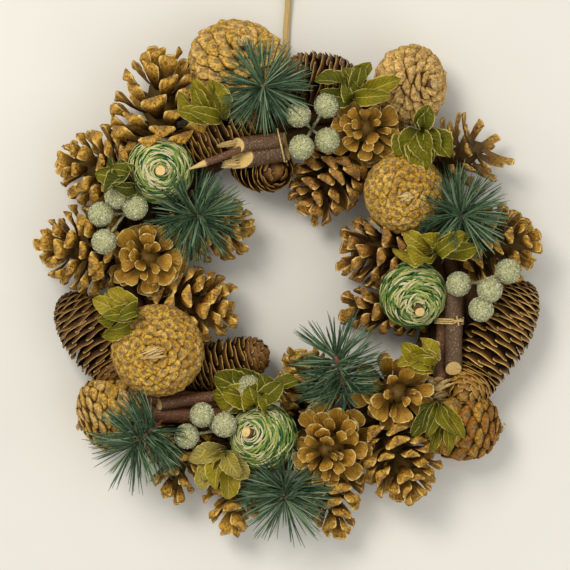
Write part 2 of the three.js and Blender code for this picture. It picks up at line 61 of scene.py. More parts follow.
LAMPS = {  # place and size in metres, power in watts, colour
    "key lamp": ((-0.67, 0.79, 1.74), 0.72, 23.2, "#fffaf0"),
    "fill lamp": ((0.95, -0.55, 1.1), 1.4, 5.0, "#fbf9f4"),
}
ROOM_LIGHT = 0.68

scene = bpy.context.scene


def at(x, y, z):
    """A place given in millimetres from the middle of the wreath."""
    return WREATH_MIDDLE + np.array([x, y, z]) * MM


def paint(code):
    """A colour as the eye reads it on a screen, turned into light."""
    shares = [int(code[i : i + 2], 16) / 255 for i in (1, 3, 5)]
    return tuple(s / 12.92 if s <= 0.04045 else ((s + 0.055) / 1.055) ** 2.4 for s in shares) + (1,)


class Finish:
    """A surface finish: each call adds one step of it and gives back what that step puts out."""

    def __init__(self, name, roughness, specular=0.12, sheen=0.0, coat=0.0):
        self.material = bpy.data.materials.new(name)
        self.material.use_nodes = True
        self.tree = self.material.node_tree
        self.shader = self.tree.nodes["Principled BSDF"]
        self.shader.inputs["Roughness"].default_value = roughness
        self.shader.inputs["Specular IOR Level"].default_value = specular
        self.shader.inputs["Sheen Weight"].default_value = sheen
        self.shader.inputs["Coat Weight"].default_value = coat

    def step(self, kind, settings, inputs, output):
        node = self.tree.nodes.new(kind)
        for name, value in settings.items():
            setattr(node, name, value)
        for name, value in inputs.items():
            if isinstance(value, bpy.types.NodeSocket):
                self.tree.links.new(value, node.inputs[name])
            else:
                node.inputs[name].default_value = value
        return node.outputs[output]

    def layer(self, name):
        return self.step("ShaderNodeAttribute", {"attribute_name": name}, {}, "Fac")

    def place(self):
        return self.step("ShaderNodeTexCoord", {}, {}, "Object")

    def grain_place(self, length, width):
        """A place on a blade or scale, so that a grain runs along it."""
        ways = {
            0: self.maths("MULTIPLY", self.layer("across"), width),
            1: self.maths("MULTIPLY", self.layer("along"), length),
            2: self.maths("MULTIPLY", self.layer("tone"), 37.0),
        }
        return self.step("ShaderNodeCombineXYZ", {}, ways, 0)

    def noise(self, scale, detail=3.0, where=None, roughness=0.55):
        inputs = {"Vector": where or self.place(), "Scale": scale, "Detail": detail, "Roughness": roughness}
        return self.step("ShaderNodeTexNoise", {}, inputs, "Fac")

    def spots(self, scale):
        return self.step("ShaderNodeTexVoronoi", {}, {"Vector": self.place(), "Scale": scale}, "Distance")

    def maths(self, operation, a, b=0.5):
        return self.step("ShaderNodeMath", {"operation": operation}, {0: a, 1: b}, 0)

    def spread(self, value, low, high, start=0.0, end=1.0):
        inputs = {"Value": value, "From Min": low, "From Max": high, "To Min": start, "To Max": end}
        return self.step("ShaderNodeMapRange", {}, inputs, 0)

    def ramp(self, value, *stops):
        node = self.tree.nodes.new("ShaderNodeValToRGB")
        self.tree.links.new(value, node.inputs[0])
        bands = node.color_ramp.elements
        while len(bands) < len(stops):
            bands.new(0.5)
        for band, (place, code) in zip(bands, stops):
            band.position = place
            band.color = paint(code)
        return node.outputs["Color"]

    def mix(self, share, first, second, way="MIX"):
        first, second = (paint(value) if isinstance(value, str) else value for value in (first, second))
        settings = {"data_type": "RGBA", "blend_type": way}
        return self.step("ShaderNodeMix", settings, {0: share, 6: first, 7: second}, 2)

    def shaded(self, body, value, *stops):
        """A colour made darker by the colours of a ramp."""
        return self.mix(1.0, body, self.ramp(value, *stops), "MULTIPLY")

    def tinted(self, body, layer, share, code):
        """A colour with up to that share of another in it, as the values of a layer say."""
        return self.mix(self.maths("MULTIPLY", self.layer(layer), share), body, code)

    def blotched(self, body, value, low, high, share, code):
        """A colour with blotches of another, none where the value is low and that share where it is high."""
        return self.mix(self.spread(value, low, high, 0.0, share), body, code)

    def edged(self, body, low, high, code):
        return self.mix(self.spread(self.layer("rim"), low, high), body, code)

    def colour(self, value):
        self.tree.links.new(value, self.shader.inputs["Base Color"])

    def rough(self, value):
        self.tree.links.new(value, self.shader.inputs["Roughness"])

    def bump(self, height, depth, strength=1.0):
        inputs = {"Height": height, "Distance": depth, "Strength": strength}
        self.tree.links.new(self.step("ShaderNodeBump", {}, inputs, "Normal"), self.shader.inputs["Normal"])


def table_finish():
    finish = Finish("painted table", 0.6)
    finish.colour(finish.ramp(finish.noise(3.0, 4.0), (0.3, "#d8d6cf"), (0.7, "#e1dfd8")))
    finish.bump(finish.noise(260.0, 3.0), 0.0002, 0.3)
    return finish.material


half = TABLE_SIZE / 2
corners = [(-half, -half, 0), (half, -half, 0), (half, half, 0), (-half, half, 0)]
table_mesh = bpy.data.meshes.new("table")
table_mesh.from_pydata(corners, [], [(0, 1, 2, 3)])
table_mesh.materials.append(table_finish())
table = bpy.data.objects.new("table", table_mesh)
scene.collection.objects.link(table)

camera = bpy.data.objects.new("camera", bpy.data.cameras.new("camera"))
camera.data.sensor_width = SENSOR
camera.data.lens = SENSOR * (CAMERA_HEIGHT - FACE_HEIGHT) / (PHOTO_PIXELS * PHOTO_PIXEL)
camera.location = at(*BELOW_CAMERA, CAMERA_HEIGHT / MM)
scene.collection.objects.link(camera)
scene.camera = camera

for name, (place, size, power, code) in LAMPS.items():
    lamp = bpy.data.objects.new(name, bpy.data.lights.new(name, "AREA"))
    lamp.data.size = size
    lamp.data.energy = power
    lamp.data.color = paint(code)[:3]
    lamp.location = place
    lamp.rotation_euler = (-lamp.location).to_track_quat("-Z", "Y").to_euler()
    scene.collection.objects.link(lamp)

scene.world = bpy.data.worlds.new("room light")
scene.world.use_nodes = True
room_light = scene.world.node_tree.nodes["Background"]
room_light.inputs["Color"].default_value = paint("#faf9f5")
room_light.inputs["Strength"].default_value = ROOM_LIGHT
scene.view_settings.view_transform = "Standard"

# The hanger: a bundle of flat raffia straws, tied to the back of the ring and knotted at its upper end.
# It is dry palm leaf, split and lightly twisted by hand. Here it lies along the table.
LAYERS = ("along", "across", "tone", "rim", "spot")
UP = np.array([0, 0, 1])
TABLE_GAP = 0.2 * MM
HANGER_ROUTE = [
    (-3, 122, 4.2),
    (-3, 130.5, 3.6),
    (-3.2, 138, 3.2),
    (-3.6, 147, 3.1),
    (-3.8, 156, 3.1),
    (-3.6, 165, 3.1),
    (-3.2, 174, 3.1),
    (-2.7, 183, 3.2),
    (-2.2, 191.5, 3.8),
    (-2, 198.6, 5),
]
HANGER_RADIUS = 2.7 * MM
KNOT_CENTRE = (-2, 204.5, 5.2)
KNOT_SIZE = 2.5 * MM
KNOT_OPENING = 0.5
KNOT_RADIUS = 1.7 * MM
STRAWS = 6
STRAW_SIDES = 8
STRAW_SPACING = 0.56  # of the bundle's radius
STRAW_WIDTH = 0.44  # of the bundle's radius
STRAW_FLATNESS = 0.62
STRAW_TWIST = 2.5


def unit(vector):
    return vector / np.linalg.norm(vector)


def units(rows):
    return rows / np.linalg.norm(rows, axis=1)[:, None]


def full_turn(count):
    """That many angles, evenly spaced once round."""
    return np.arange(count) * 2 * np.pi / count


def circle(side, front, turns):
    """For each of some turns from side towards front, the way that it points."""
    return np.cos(turns)[:, None] * side + np.sin(turns)[:, None] * front


def grain_round(sides, scale=1):
    """A value for the grain at each corner of a ring, which goes down and up again, so that no seam shows."""
    return np.abs(np.linspace(-1, 1, sides))[None, :] * scale


def loft_faces(stations, around):
    faces = []
    for i in range(stations - 1):
        for j in range(around):
            low, high = i * around + j, i * around + (j + 1) % around
            faces.append((low, high, high + around, low + around))
    last = (stations - 1) * around
    return [*faces, tuple(reversed(range(around))), tuple(range(last, last + around))]


class Shell:
    """The skin of a piece as it grows: each part of it is a row of rings, closed at both ends."""

    def __init__(self):
        self.places = []
        self.faces = []
        self.values = {name: [] for name in LAYERS}
        self.count = 0

    def loft(self, rings, **layers):
        stations, around = rings.shape[:2]
        self.faces += [[corner + self.count for corner in face] for face in loft_faces(stations, around)]
        self.places.append(rings.reshape(-1, 3))
        for name in LAYERS:
            self.values[name].append(np.broadcast_to(layers.get(name, 0.0), (stations, around)).ravel())
        self.count += stations * around

    def piece(self, name, nodes, slot, material, sharp=50):
        """Makes the piece, which moves with the wreath and is seen instead of its plain solids."""
        places = np.concatenate(self.places)
        places[:, 2] = np.maximum(places[:, 2], TABLE_GAP)
        mesh = bpy.data.meshes.new(name)
        mesh.from_pydata(places, [], self.faces)
        for layer, values in self.values.items():
            mesh.attributes.new(layer, "FLOAT", "POINT").data.foreach_set("value", np.concatenate(values))
        mesh.shade_smooth()
        mesh.set_sharp_from_angle(angle=math.radians(sharp))
        mesh.materials.append(material)
        piece = bpy.data.objects.new(name, mesh)
        scene.collection.objects.link(piece)
        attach(piece, "root")
        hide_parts(*nodes)
        return piece


def smooth_route(points, steps):
    """A smooth curve through given points, with that many steps from each point to the next."""
    ends = np.concatenate([[2 * points[0] - points[1]], points, [2 * points[-1] - points[-2]]])
    route = []
    for a, b, c, d in zip(ends, ends[1:], ends[2:], ends[3:]):
        for t in np.arange(steps) / steps:
            bend = (2 * a - 5 * b + 4 * c - d) * t**2 + (3 * b - a - 3 * c + d) * t**3
            route.append(0.5 * (2 * b + (c - a) * t + bend))
    return np.array([*route, points[-1]])


def carried(route):
    """A side and an up at each point of a route, at right angles to it, that don't twist round it."""
    ways = units(np.gradient(route, axis=0))
    start = np.cross(ways[0], UP)
    side = unit(start) if np.linalg.norm(start) > 0.05 else np.array([1.0, 0, 0])
    sides = []
    for way in ways:
        side = unit(side - way * (side @ way))
        sides.append(side)
    return np.array(sides), np.cross(ways, sides)


def tube(route, radii, around=8, flat=1.0, turn=0.0):
    """Rings round a route. flat is the section's height as a share of its width, turn its tilt."""
    sides, ups = carried(route)
    radii = np.broadcast_to(radii, len(route))[:, None, None]
    angle = full_turn(around)
    tilt = np.broadcast_to(turn, len(route))[:, None]
    x, y = np.cos(angle), np.sin(angle) * flat
    across = (x * np.cos(tilt) - y * np.sin(tilt))[:, :, None]
    upward = (x * np.sin(tilt) + y * np.cos(tilt))[:, :, None]
    return route[:, None, :] + radii * (across * sides[:, None, :] + upward * ups[:, None, :])


def straw_finish():
    finish = Finish("raffia straw", 0.7, sheen=0.1)
    grain = finish.noise(9.0, 4.0, finish.grain_place(1.2, 9.0))
    body = finish.ramp(grain, (0.25, "#9d8148"), (0.5, "#c9ad70"), (0.75, "#e2cd97"))
    finish.colour(finish.tinted(body, "tone", 0.35, "#a98c55"))
    finish.bump(grain, 0.0003, 0.6)
    return finish.material


def straw_bundle(shell, route, radius, rng):
    """Flat straws side by side round the middle of a route, slowly changing places."""
    sides, ups = carried(route)
    way = np.linspace(0, 1, len(route))
    for i in range(STRAWS):
        angle = i * 2 * np.pi / STRAWS + way * STRAW_TWIST + rng.uniform(-0.2, 0.2)
        middle = route + radius * STRAW_SPACING * circle(sides, ups, angle)
        wide = radius * STRAW_WIDTH * (1 + 0.12 * np.sin(way * 19 + i))
        rings = tube(middle, wide, STRAW_SIDES, STRAW_FLATNESS, angle + np.pi / 2)
        shell.loft(rings, along=way[:, None] * 8, across=grain_round(STRAW_SIDES), tone=rng.random())


def knot_place(turn):
    """A place on a knot of three crossing loops."""
    across = math.sin(turn) + 2 * math.sin(2 * turn)
    onward = math.cos(turn) - 2 * math.cos(2 * turn)
    return at(*KNOT_CENTRE) + KNOT_SIZE * np.array([across, onward, -math.sin(3 * turn)])


straw = straw_finish()
rng = random.Random(3)
knot_turns = np.pi + KNOT_OPENING + np.linspace(0, 1, 41) * 2 * (np.pi - KNOT_OPENING)
knot_shell = Shell()
straw_bundle(knot_shell, np.array([knot_place(turn) for turn in knot_turns]), KNOT_RADIUS, rng)
knot = knot_shell.piece("knot_in_raffia", ["hanger_knot"], "raffia", straw)
hanger_route = smooth_route(np.array([at(*point) for point in HANGER_ROUTE]), 4)
hanger_shell = Shell()
straw_bundle(hanger_shell, hanger_route, HANGER_RADIUS, rng)
hanger = hanger_shell.piece("raffia_straws", ["raffia_hanger"], "raffia", straw)

# The base ring: willow rods twisted round each other and round a thicker core, and flat where they meet
# the table. Brown bark with a dull shine. Everything else is stuck to it with hot glue.
RING_RADIUS = 112 * MM
RING_HALF_WIDTH = 20 * MM
RING_HALF_HEIGHT = 16 * MM
RING_HEIGHT = 10 * MM  # of the ring's middle line
RODS = 7
ROD_RADIUS = 5.6 * MM
ROD_GAP = 0.6 * MM
ROD_TURNS = 11 / 7  # so that each rod ends where another begins
ROD_POINTS = 97
ROD_SIDES = 10
ROD_WAVER = 0.5 * MM
CORE_RADIUS = 8.6 * MM
CORE_SWING = 1 * MM


def willow_finish():
    finish = Finish("willow bark", 0.72)
    grain = finish.noise(7.0, 5.0, finish.grain_place(6.0, 1.6))
    body = finish.ramp(grain, (0.3, "#1e1307"), (0.5, "#46301a"), (0.72, "#7a5a34"))
    finish.colour(finish.tinted(body, "tone", 0.5, "#5d4026"))
    finish.bump(grain, 0.0008, 0.7)
    return finish.material


def willow_rod(shell, start, swing_in, swing_up, radius, rng):
    """A rod once round the ring, swinging in and up about the ring's middle line as it twists."""
    way = np.linspace(0, 2 * np.pi, ROD_POINTS)
    twist = start + way * ROD_TURNS
    out = RING_RADIUS + swing_in * np.cos(twist) + ROD_WAVER * np.sin(way * 7)
    up = np.maximum(RING_HEIGHT + swing_up * np.sin(twist), radius)
    route = WREATH_MIDDLE + np.stack([out * np.cos(way) + RING_RIGHT_OF_MIDDLE, out * np.sin(way), up], 1)
    thick = radius * (1 + 0.05 * np.sin(way * 23) * np.sin(way * 5))
    grain = grain_round(ROD_SIDES, 3)
    shell.loft(tube(route, thick, ROD_SIDES), along=way[:, None] * 4, across=grain, tone=rng.random())


ring = Shell()
rng = random.Random(5)
swing_in, swing_up = (half - ROD_RADIUS - ROD_GAP for half in (RING_HALF_WIDTH, RING_HALF_HEIGHT))
for rod in range(RODS):
    willow_rod(ring, rod * 2 * math.pi / RODS, swing_in, swing_up, ROD_RADIUS, rng)
willow_rod(ring, 0, CORE_SWING, CORE_SWING, CORE_RADIUS, rng)
ring.piece("willow_rods", ["willow_ring"], "willow", willow_finish())

# The twig bundles: short lengths of bark twig, glued side by side and cut or torn off at their ends.
# Thin grey and red-brown bark with pale pores over pale wood. The top and right bundles have a raffia tie,
# which ends in a small bow on the right one.
TWIGS = {  # start, end, radius, redness, and how slanted the cuts at its start and end are
    "top": [
        ((-36, 91.5, 56), (-4, 95.5, 56), 5.5, 0.25, (0.9, 0.3)),
        ((-33, 83.2, 51), (-2.5, 88, 51), 6.8, 0.15, (1.2, 0.3)),
        ((-69, 75.5, 57), (-30, 90.5, 56), 2.6, 0.6, (0, 0)),
    ],
    "bottom": [
        ((-109.5, -80, 34), (-38, -81.5, 34), 5.6, 0.75, (0.9, 0)),
        ((-108, -90, 33), (-40, -92.5, 32), 6.2, 0.8, (0.9, 0)),
        ((-90, -84, 41), (-38, -77, 38), 4.2, 0.55, (0.5, 0)),
    ],
    "right": [
        ((110.5, -7, 45), (110.5, -59.5, 45), 6.1, 0.1, (0.3, 0.9)),
        ((104.5, -24, 37), (101, -69, 37), 4.8, 0.7, (0, 0.9)),
        ((106.5, -36, 30), (104, -79, 29.5), 5, 0.85, (0, 0.9)),
    ],
}
SLIVERS = {  # start, end, radius
    "top": [
        ((-50, 91, 54), (-36, 93, 57), 2.4),
        ((-46, 80, 51), (-36, 82, 51), 2.2),
        ((-47, 77.5, 50), (-35, 79, 50), 2.2),
        ((-40, 76.5, 49), (-12, 80.5, 46), 1.4),
    ],
    "bottom": [
        ((-114, -82, 35), (-105, -74, 37), 3.0),
        ((-115, -93, 33), (-107, -88, 35), 2.6),
    ],
    "right": [
        ((99, -73, 39), (108, -68, 41), 3.4),
        ((92, -66, 36), (100, -70, 38), 2.4),
        ((97, -80, 33), (107, -77, 34), 2.6),
    ],
}
TIES = {  # middle, way along the bundle, reach sideways and up, number of loops
    "top": ((-6.5, 92, 53.5), (0.96, 0.24, 0), (11.5, 9), 1),
    "right": ((107.5, -27, 42.5), (0, 1, 0), (9.8, 9), 3),
}
TWIG_STEPS = 30
TWIG_SIDES = 18
TWIG_BEND = 0.6 * MM
THIN_TWIG = 3 * MM  # a thinner one than this is peeled to a point
PEELED_SHARE = 0.3  # of the thin twig's length
SPLITS = 5  # fibres in a sliver
SLIVER_STEPS = 9
SLIVER_SIDES = 8
SLIVER_BEND = 0.8 * MM
SLIVER_FLATNESS = 0.35
SLIVER_TILT = 0.4
TIE_RADIUS = 0.55 * MM
TIE_SPACING = 1.4 * MM
TIE_STEPS = 28
TIE_SIDES = 6
BOW_RADIUS = 0.6 * MM
BOW_WIDTH = 2.6 * MM
BOW_HEIGHT = 0.9 * MM
BOW_LOOPS = 3
BOW_STEPS = 16
rooms = []  # spaces that pieces have already taken, each an egg round the line between its ends


def take_room(base, tip, width, share=0.94):
    length = np.linalg.norm(tip - base)
    rooms.append(((base + tip) / 2, (tip - base) / length, length / 2 * share, width / 2 * share))


def line(start, end, points):
    return start + np.linspace(0, 1, points)[:, None] * (end - start)


def aim(side, front, turn):
    """The way that one turn from side towards front points."""
    return math.cos(turn) * side + math.sin(turn) * front


def bark_finish():
    finish = Finish("twig bark", 0.5, 0.3, coat=0.1)
    grain = finish.noise(5.0, 5.0, finish.grain_place(14.0, 2.0))
    grey = finish.ramp(grain, (0.3, "#38281a"), (0.55, "#5d472f"), (0.75, "#84694a"))
    red = finish.ramp(grain, (0.3, "#3f1e0f"), (0.55, "#6f4124"), (0.75, "#9c6b42"))
    body = finish.mix(finish.layer("tone"), grey, red)
    pores = finish.spread(finish.spots(700.0), 0.22, 0.3, 1.0, 0.0)
    body = finish.mix(finish.maths("MULTIPLY", pores, 0.45), body, "#b8a08a")
    wood_grain = finish.noise(11.0, 4.0, finish.grain_place(3.0, 6.0))
    wood = finish.ramp(wood_grain, (0.3, "#ae8340"), (0.55, "#ebc981"), (0.75, "#fbeec6"))
    finish.colour(finish.mix(finish.layer("spot"), body, wood))
    finish.bump(grain, 0.0005, 0.8)
    return finish.material


def bark_twig(shell, start, end, radius, redness, rng, cuts=(0, 0)):
    """A twig with a slight bend and swellings, its two ends cut off as slanted as cuts says."""
    way = np.linspace(0, 1, TWIG_STEPS)
    phase = radius / MM  # so that twigs swell in different places
    route = line(start, end, TWIG_STEPS)
    route[:, 2] += np.sin(way * np.pi) * TWIG_BEND
    thick = radius * (1 - 0.06 * way + 0.035 * np.sin(way * 23 + phase) * np.sin(way * 9))
    wood = np.zeros(TWIG_STEPS)
    if radius < THIN_TWIG:
        thick *= np.clip(0.2 + way * 2.6, 0, 1)
        wood[way < PEELED_SHARE] = 1
    offsets = tube(route, thick, TWIG_SIDES) - route[:, None, :]
    offsets *= (1 + 0.03 * np.sin(np.arange(TWIG_SIDES) * np.pi / 3 + phase))[None, :, None]
    length = np.linalg.norm(end - start)
    for cut, sign, far in ((cuts[0], 1, way), (cuts[1], -1, 1 - way)):
        fade = np.clip(1 - far * length / (2 * radius * max(cut, 0.1)), 0, 1)
        slant = sign * cut * fade[:, None] * offsets[:, :, 2]
        offsets = offsets + slant[:, :, None] * unit(end - start)
    rows = [0, 0, *range(TWIG_STEPS), TWIG_STEPS - 1, TWIG_STEPS - 1]
    shares = np.array([0.3, 0.9, *[1] * TWIG_STEPS, 0.9, 0.3])
    rings = route[rows][:, None, :] + offsets[rows] * shares[:, None, None]
    wood = np.where(shares < 1, 1, wood[rows])[:, None]
    along = (way[rows] * 3 + rng.random())[:, None]
    shell.loft(rings, along=along, across=grain_round(TWIG_SIDES, 2), tone=redness, spot=wood)


def torn_fibre(shell, start, end, radius, rng):
    way = np.linspace(0, 1, SLIVER_STEPS)
    route = line(start, end, SLIVER_STEPS)
    route[:, 2] += np.sin(way * 5) * SLIVER_BEND
    thick = radius * np.clip(np.sin(way * np.pi * 0.9 + 0.25), 0.12, 1) * (1 + 0.25 * np.sin(way * 31))
    rings = tube(route, thick, SLIVER_SIDES, SLIVER_FLATNESS, SLIVER_TILT)
    tone, wood = rng.random(), rng.uniform(0.62, 1)
    shell.loft(rings, along=way[:, None], across=grain_round(SLIVER_SIDES, 3), tone=tone, spot=wood)


def torn_sliver(shell, start, end, radius, rng):
    """A flat splinter of pale wood that has split into fibres."""
    for _ in range(SPLITS):
        aside = np.array([rng.gauss(0, 0.5), rng.gauss(0, 0.5), rng.gauss(0, 0.3)]) * radius
        torn_fibre(shell, start + aside * 0.6, end + aside * 1.4, radius * rng.uniform(0.3, 0.5), rng)


def tie_loops(shell, middle, way, reach, loops, rng):
    """A thin strand round a bundle, with a small bow where more than one loop is tied."""
    side = unit(np.cross(way, UP))
    up = np.cross(side, way)
    turn = np.linspace(0, 2 * np.pi * loops, TIE_STEPS * loops)
    drift = (turn / (2 * np.pi * loops) - 0.5) * TIE_SPACING * loops
    route = middle + circle(side * reach[0], up * reach[1], turn) + drift[:, None] * way
    shell.loft(tube(route, TIE_RADIUS, TIE_SIDES), along=turn[:, None], across=0.5, tone=rng.random())
    if loops == 1:
        return
    bow_foot = middle + side * reach[0] * 0.55 + up * reach[1] * 0.9
    turn = np.linspace(0, 2 * np.pi, BOW_STEPS)
    for i in range(BOW_LOOPS):
        flat = aim(side, way, 0.5 + i * 1.3) * BOW_WIDTH
        bow = np.sin(turn)[:, None] * flat + (1 - np.cos(turn))[:, None] * up * BOW_HEIGHT
        rings = tube(bow_foot + bow * (1 + 0.2 * i), BOW_RADIUS, TIE_SIDES)
        shell.loft(rings, along=turn[:, None], across=0.5, tone=rng.random())


bark = bark_finish()
rng = random.Random(7)
for name, twigs in TWIGS.items():
    shell = Shell()
    for start, end, radius, redness, cuts in twigs:
        start, end, radius = at(*start), at(*end), radius * MM
        bark_twig(shell, start, end, radius, redness, rng, cuts)
        take_room(start, end, 2 * radius, 1.0)
    for start, end, radius in SLIVERS[name]:
        torn_sliver(shell, at(*start), at(*end), radius * MM, rng)
    shell.piece(f"bark_twigs_{name}", [f"twigs_{name}"], "bark", bark)
for name, (middle, way, reach, loops) in TIES.items():
    shell = Shell()
    tie_loops(shell, at(*middle), unit(np.array(way)), np.array(reach) * MM, loops, rng)
    shell.piece(f"raffia_tie_{name}", [f"twigs_{name}"], "bark", straw)

# The twine balls: plant fibres, dyed green or left cream, wound in rings round a foam ball on a bark stick.
# The stick comes out in the middle of the rings, and the ball is glued down between the cones.
BALLS = {  # middle, way of the stick
    "top_left": ((-89, 75.5, 47), (0.06, -0.06, 1)),
    "right": ((83, -9, 43), (0.15, -0.5, 1)),
    "bottom": ((-18.5, -106, 46), (-0.5, 0.2, 1)),
}
BALL_RADIUS = 23 * MM
WINDING_DEPTH = 2.2 * MM
STICK_REACH = 3.6 * MM  # out of the ball
STICK_SEAT = 10 * MM  # the stick's inner end, from the ball's middle
STEM_RADIUS = 3.4 * MM
FOAM_RINGS = 20
FOAM_SIDES = 28
FIBRES = 800
FIBRE_POINTS = 7
FIBRE_SIDES = 5
FIBRE_FLATNESS = 0.75
FIBRE_LENGTHS_MM = (9, 22)
FIBRE_RADII_MM = (0.45, 0.9)
GOLDEN_TURN = math.pi * (3 - math.sqrt(5))


def fibre_finish():
    finish = Finish("dyed plant fibre", 0.55, 0.25)
    grain = finish.noise(8.0, 3.0, finish.grain_place(5.0, 4.0))
    dyed = finish.ramp(
        finish.layer("tone"),
        (0.0, "#1f5228"),
        (0.25, "#4f843f"),
        (0.45, "#8ea748"),
        (0.65, "#bdc772"),
        (0.82, "#e0dc8e"),
        (1.0, "#f0e6b6"),
    )
    finish.colour(finish.shaded(dyed, grain, (0.25, "#8f8f8f"), (0.7, "#ffffff")))
    finish.bump(grain, 0.0003, 0.6)
    return finish.material


def wound_ball(shell, middle, axis, rng):
    """Flat fibres laid tightly round a ball, each nearly straight, so that it looks a little angular."""
    side = unit(np.cross(axis, (0.2, 1, 0.1)))
    front = np.cross(axis, side)
    slopes = np.linspace(0.01, 3.13, FOAM_RINGS)[:, None, None]
    foam = np.sin(slopes) * circle(side, front, -full_turn(FOAM_SIDES)) + np.cos(slopes) * axis
    # The foam ball takes the darkest green of the dye ramp, as painted shade in the gaps between the fibres.
    shell.loft(middle + (BALL_RADIUS - WINDING_DEPTH) * foam, tone=-0.5)
    way = np.linspace(-0.5, 0.5, FIBRE_POINTS)[:, None]
    angle = full_turn(FIBRE_SIDES)[None, :, None]
    for i in range(FIBRES):
        slope = math.acos(1 - 1.97 * (i + 2) / (FIBRES + 2))
        girth = BALL_RADIUS * math.sin(slope)
        length = min(rng.uniform(*FIBRE_LENGTHS_MM) * MM, 4 * MM + 1.5 * girth)
        swing = i * GOLDEN_TURN + way * length / max(girth, 0.12 * BALL_RADIUS) * rng.uniform(0.55, 1)
        drift = slope + way * length / BALL_RADIUS * rng.gauss(0, 0.22)
        normal = np.sin(drift) * circle(side, front, swing[:, 0]) + np.cos(drift) * axis
        route = middle + normal * (BALL_RADIUS + (rng.uniform(-1.9, 0.0) - 5 * way**4) * MM)
        across = np.cross(normal, units(np.gradient(route, axis=0)))
        thick = rng.uniform(*FIBRE_RADII_MM) * MM * np.clip(1.15 - 4 * way**2, 0.3, 1)
        wide = np.cos(angle) * across[:, None, :]
        high = np.sin(angle) * normal[:, None, :] * FIBRE_FLATNESS
        rings = route[:, None, :] + thick[:, :, None] * (wide + high)
        tone = min(max(rng.gauss(0.82 - 0.24 * slope, 0.36), 0.04), 1)
        shell.loft(rings, along=way + 0.5, across=0.4, tone=tone)


fibre = fibre_finish()
rng = random.Random(11)
for name, (middle, way) in BALLS.items():
    middle, way = at(*middle), unit(np.array(way))
    shell = Shell()
    wound_ball(shell, middle, way, rng)
    take_room(middle - way * BALL_RADIUS, middle + way * BALL_RADIUS, 2 * BALL_RADIUS)
    shell.piece(f"wound_ball_{name}", [f"twine_ball_{name}"], "twine", fibre)
    stick = Shell()
    outer_end, inner_end = middle + way * (BALL_RADIUS + STICK_REACH), middle + way * STICK_SEAT
    bark_twig(stick, outer_end, inner_end, STEM_RADIUS, 0.3, rng)
    stick.piece(f"ball_stick_{name}", [f"twine_ball_{name}"], "bark", bark)

# The shut pine cones, most of them glued on with the cut stem outwards.
# Woody scales whose ends are low shields in two sets of spirals, ochre with a grey, ridged middle.
SHUT_CONES = {  # base, tip, width, number of shields, and tone from pale over ochre to red
    "left": ((-91.5, -48.5, 72), (-89, -45, 20), 58, 176, 0.55),
    "right": ((77.5, 57, 68), (76, 64, 18), 50, 148, 0.5),
    "top": ((-33, 160, 50), (-40, 134, 16), 62, 98, 0.36),
    "top_right": ((95, 134, 48), (66, 134, 20), 50, 98, 0.08),
    "bottom_left": ((-143, -99, 27), (-101, -81, 20), 47, 95, 0.35),
    "bottom_right": ((142, -101, 27), (89, -97, 20), 41, 66, 0.85),
}
SHUT_BASE_SHARE = 0.38  # of the length, from the stem to the widest place
SHIELD_CROWDING = 1.18  # how much closer the shields are at the stem
SHIELD_SIDES = 14
SHIELD_LEVELS = np.array([  # width, height, greyness and painted shade, from the foot to the middle's point
    (0.7, -2.2, 0, 1),
    (1.0, -0.5, 0, 0.9),
    (0.99, 0.3, 0, 0.4),
    (0.84, 0.62, 0, 0),
    (0.6, 0.85, 0, 0),
    (0.3, 1.02, 0.2, 0),
    (0.22, 0.86, 1, 0),
    (0.1, 1.12, 0.8, 0),
])
SHIELD_LEANS = (0.48, 0.7)
SHIELD_SIZES = (0.75, 0.82)  # of the side of the room that each has
SHIELD_CRUMPLE = 0.06 * MM
CORE_SHARE = 0.95  # of the cone's width and length, under the shields
CORE_RINGS = 18
CORE_SIDES = 20
STUB_OUT = 2.6 * MM
STUB_IN = 5 * MM
STUB_SLIVERS = 3
STUB_SLIVER_RADIUS = 1.8 * MM
STUB_SLIVER_TURN = 1.45
STUB_REACHES_MM = dict.fromkeys(SHUT_CONES, 4) | {"left": 7.5}
crumple = np.random.default_rng(41)


def shield_finish():
    finish = Finish("shut cone shields", 0.68)
    grain = finish.noise(520.0, 5.0, roughness=0.7)
    ochre = finish.ramp(grain, (0.36, "#7a5212"), (0.5, "#b88e30"), (0.64, "#e2ba5a"))
    pale = finish.ramp(grain, (0.36, "#906632"), (0.5, "#cfa55e"), (0.64, "#eecb89"))
    red = finish.ramp(grain, (0.34, "#5e360f"), (0.5, "#915f20"), (0.66, "#b78338"))
    grey = finish.ramp(grain, (0.35, "#6b583c"), (0.7, "#a08a66"))
    body = finish.mix(finish.spread(finish.layer("tone"), 0.1, 0.5), pale, ochre)
    body = finish.mix(finish.spread(finish.layer("tone"), 0.55, 0.9), body, red)
    body = finish.blotched(body, finish.noise(90.0, 3.0), 0.45, 0.75, 0.45, "#7d6238")
    body = finish.mix(finish.layer("spot"), body, grey)
    # Painted shade: where the rim layer says, the shields and the core under them are darkened to dark brown.
    finish.colour(finish.mix(finish.layer("rim"), body, "#33200a"))
    finish.bump(finish.noise(700.0, 4.0), 0.0008, 0.9)
    return finish.material


def cone_axes(base, tip):
    """The way from a cone's base to its tip, and two more at right angles to it."""
    axis = unit(tip - base)
    side = unit(np.cross(axis, (0.13, 0.31, 0.9) if abs(axis[2]) < 0.9 else (1, 0.2, 0)))
    return axis, side, np.cross(axis, side)


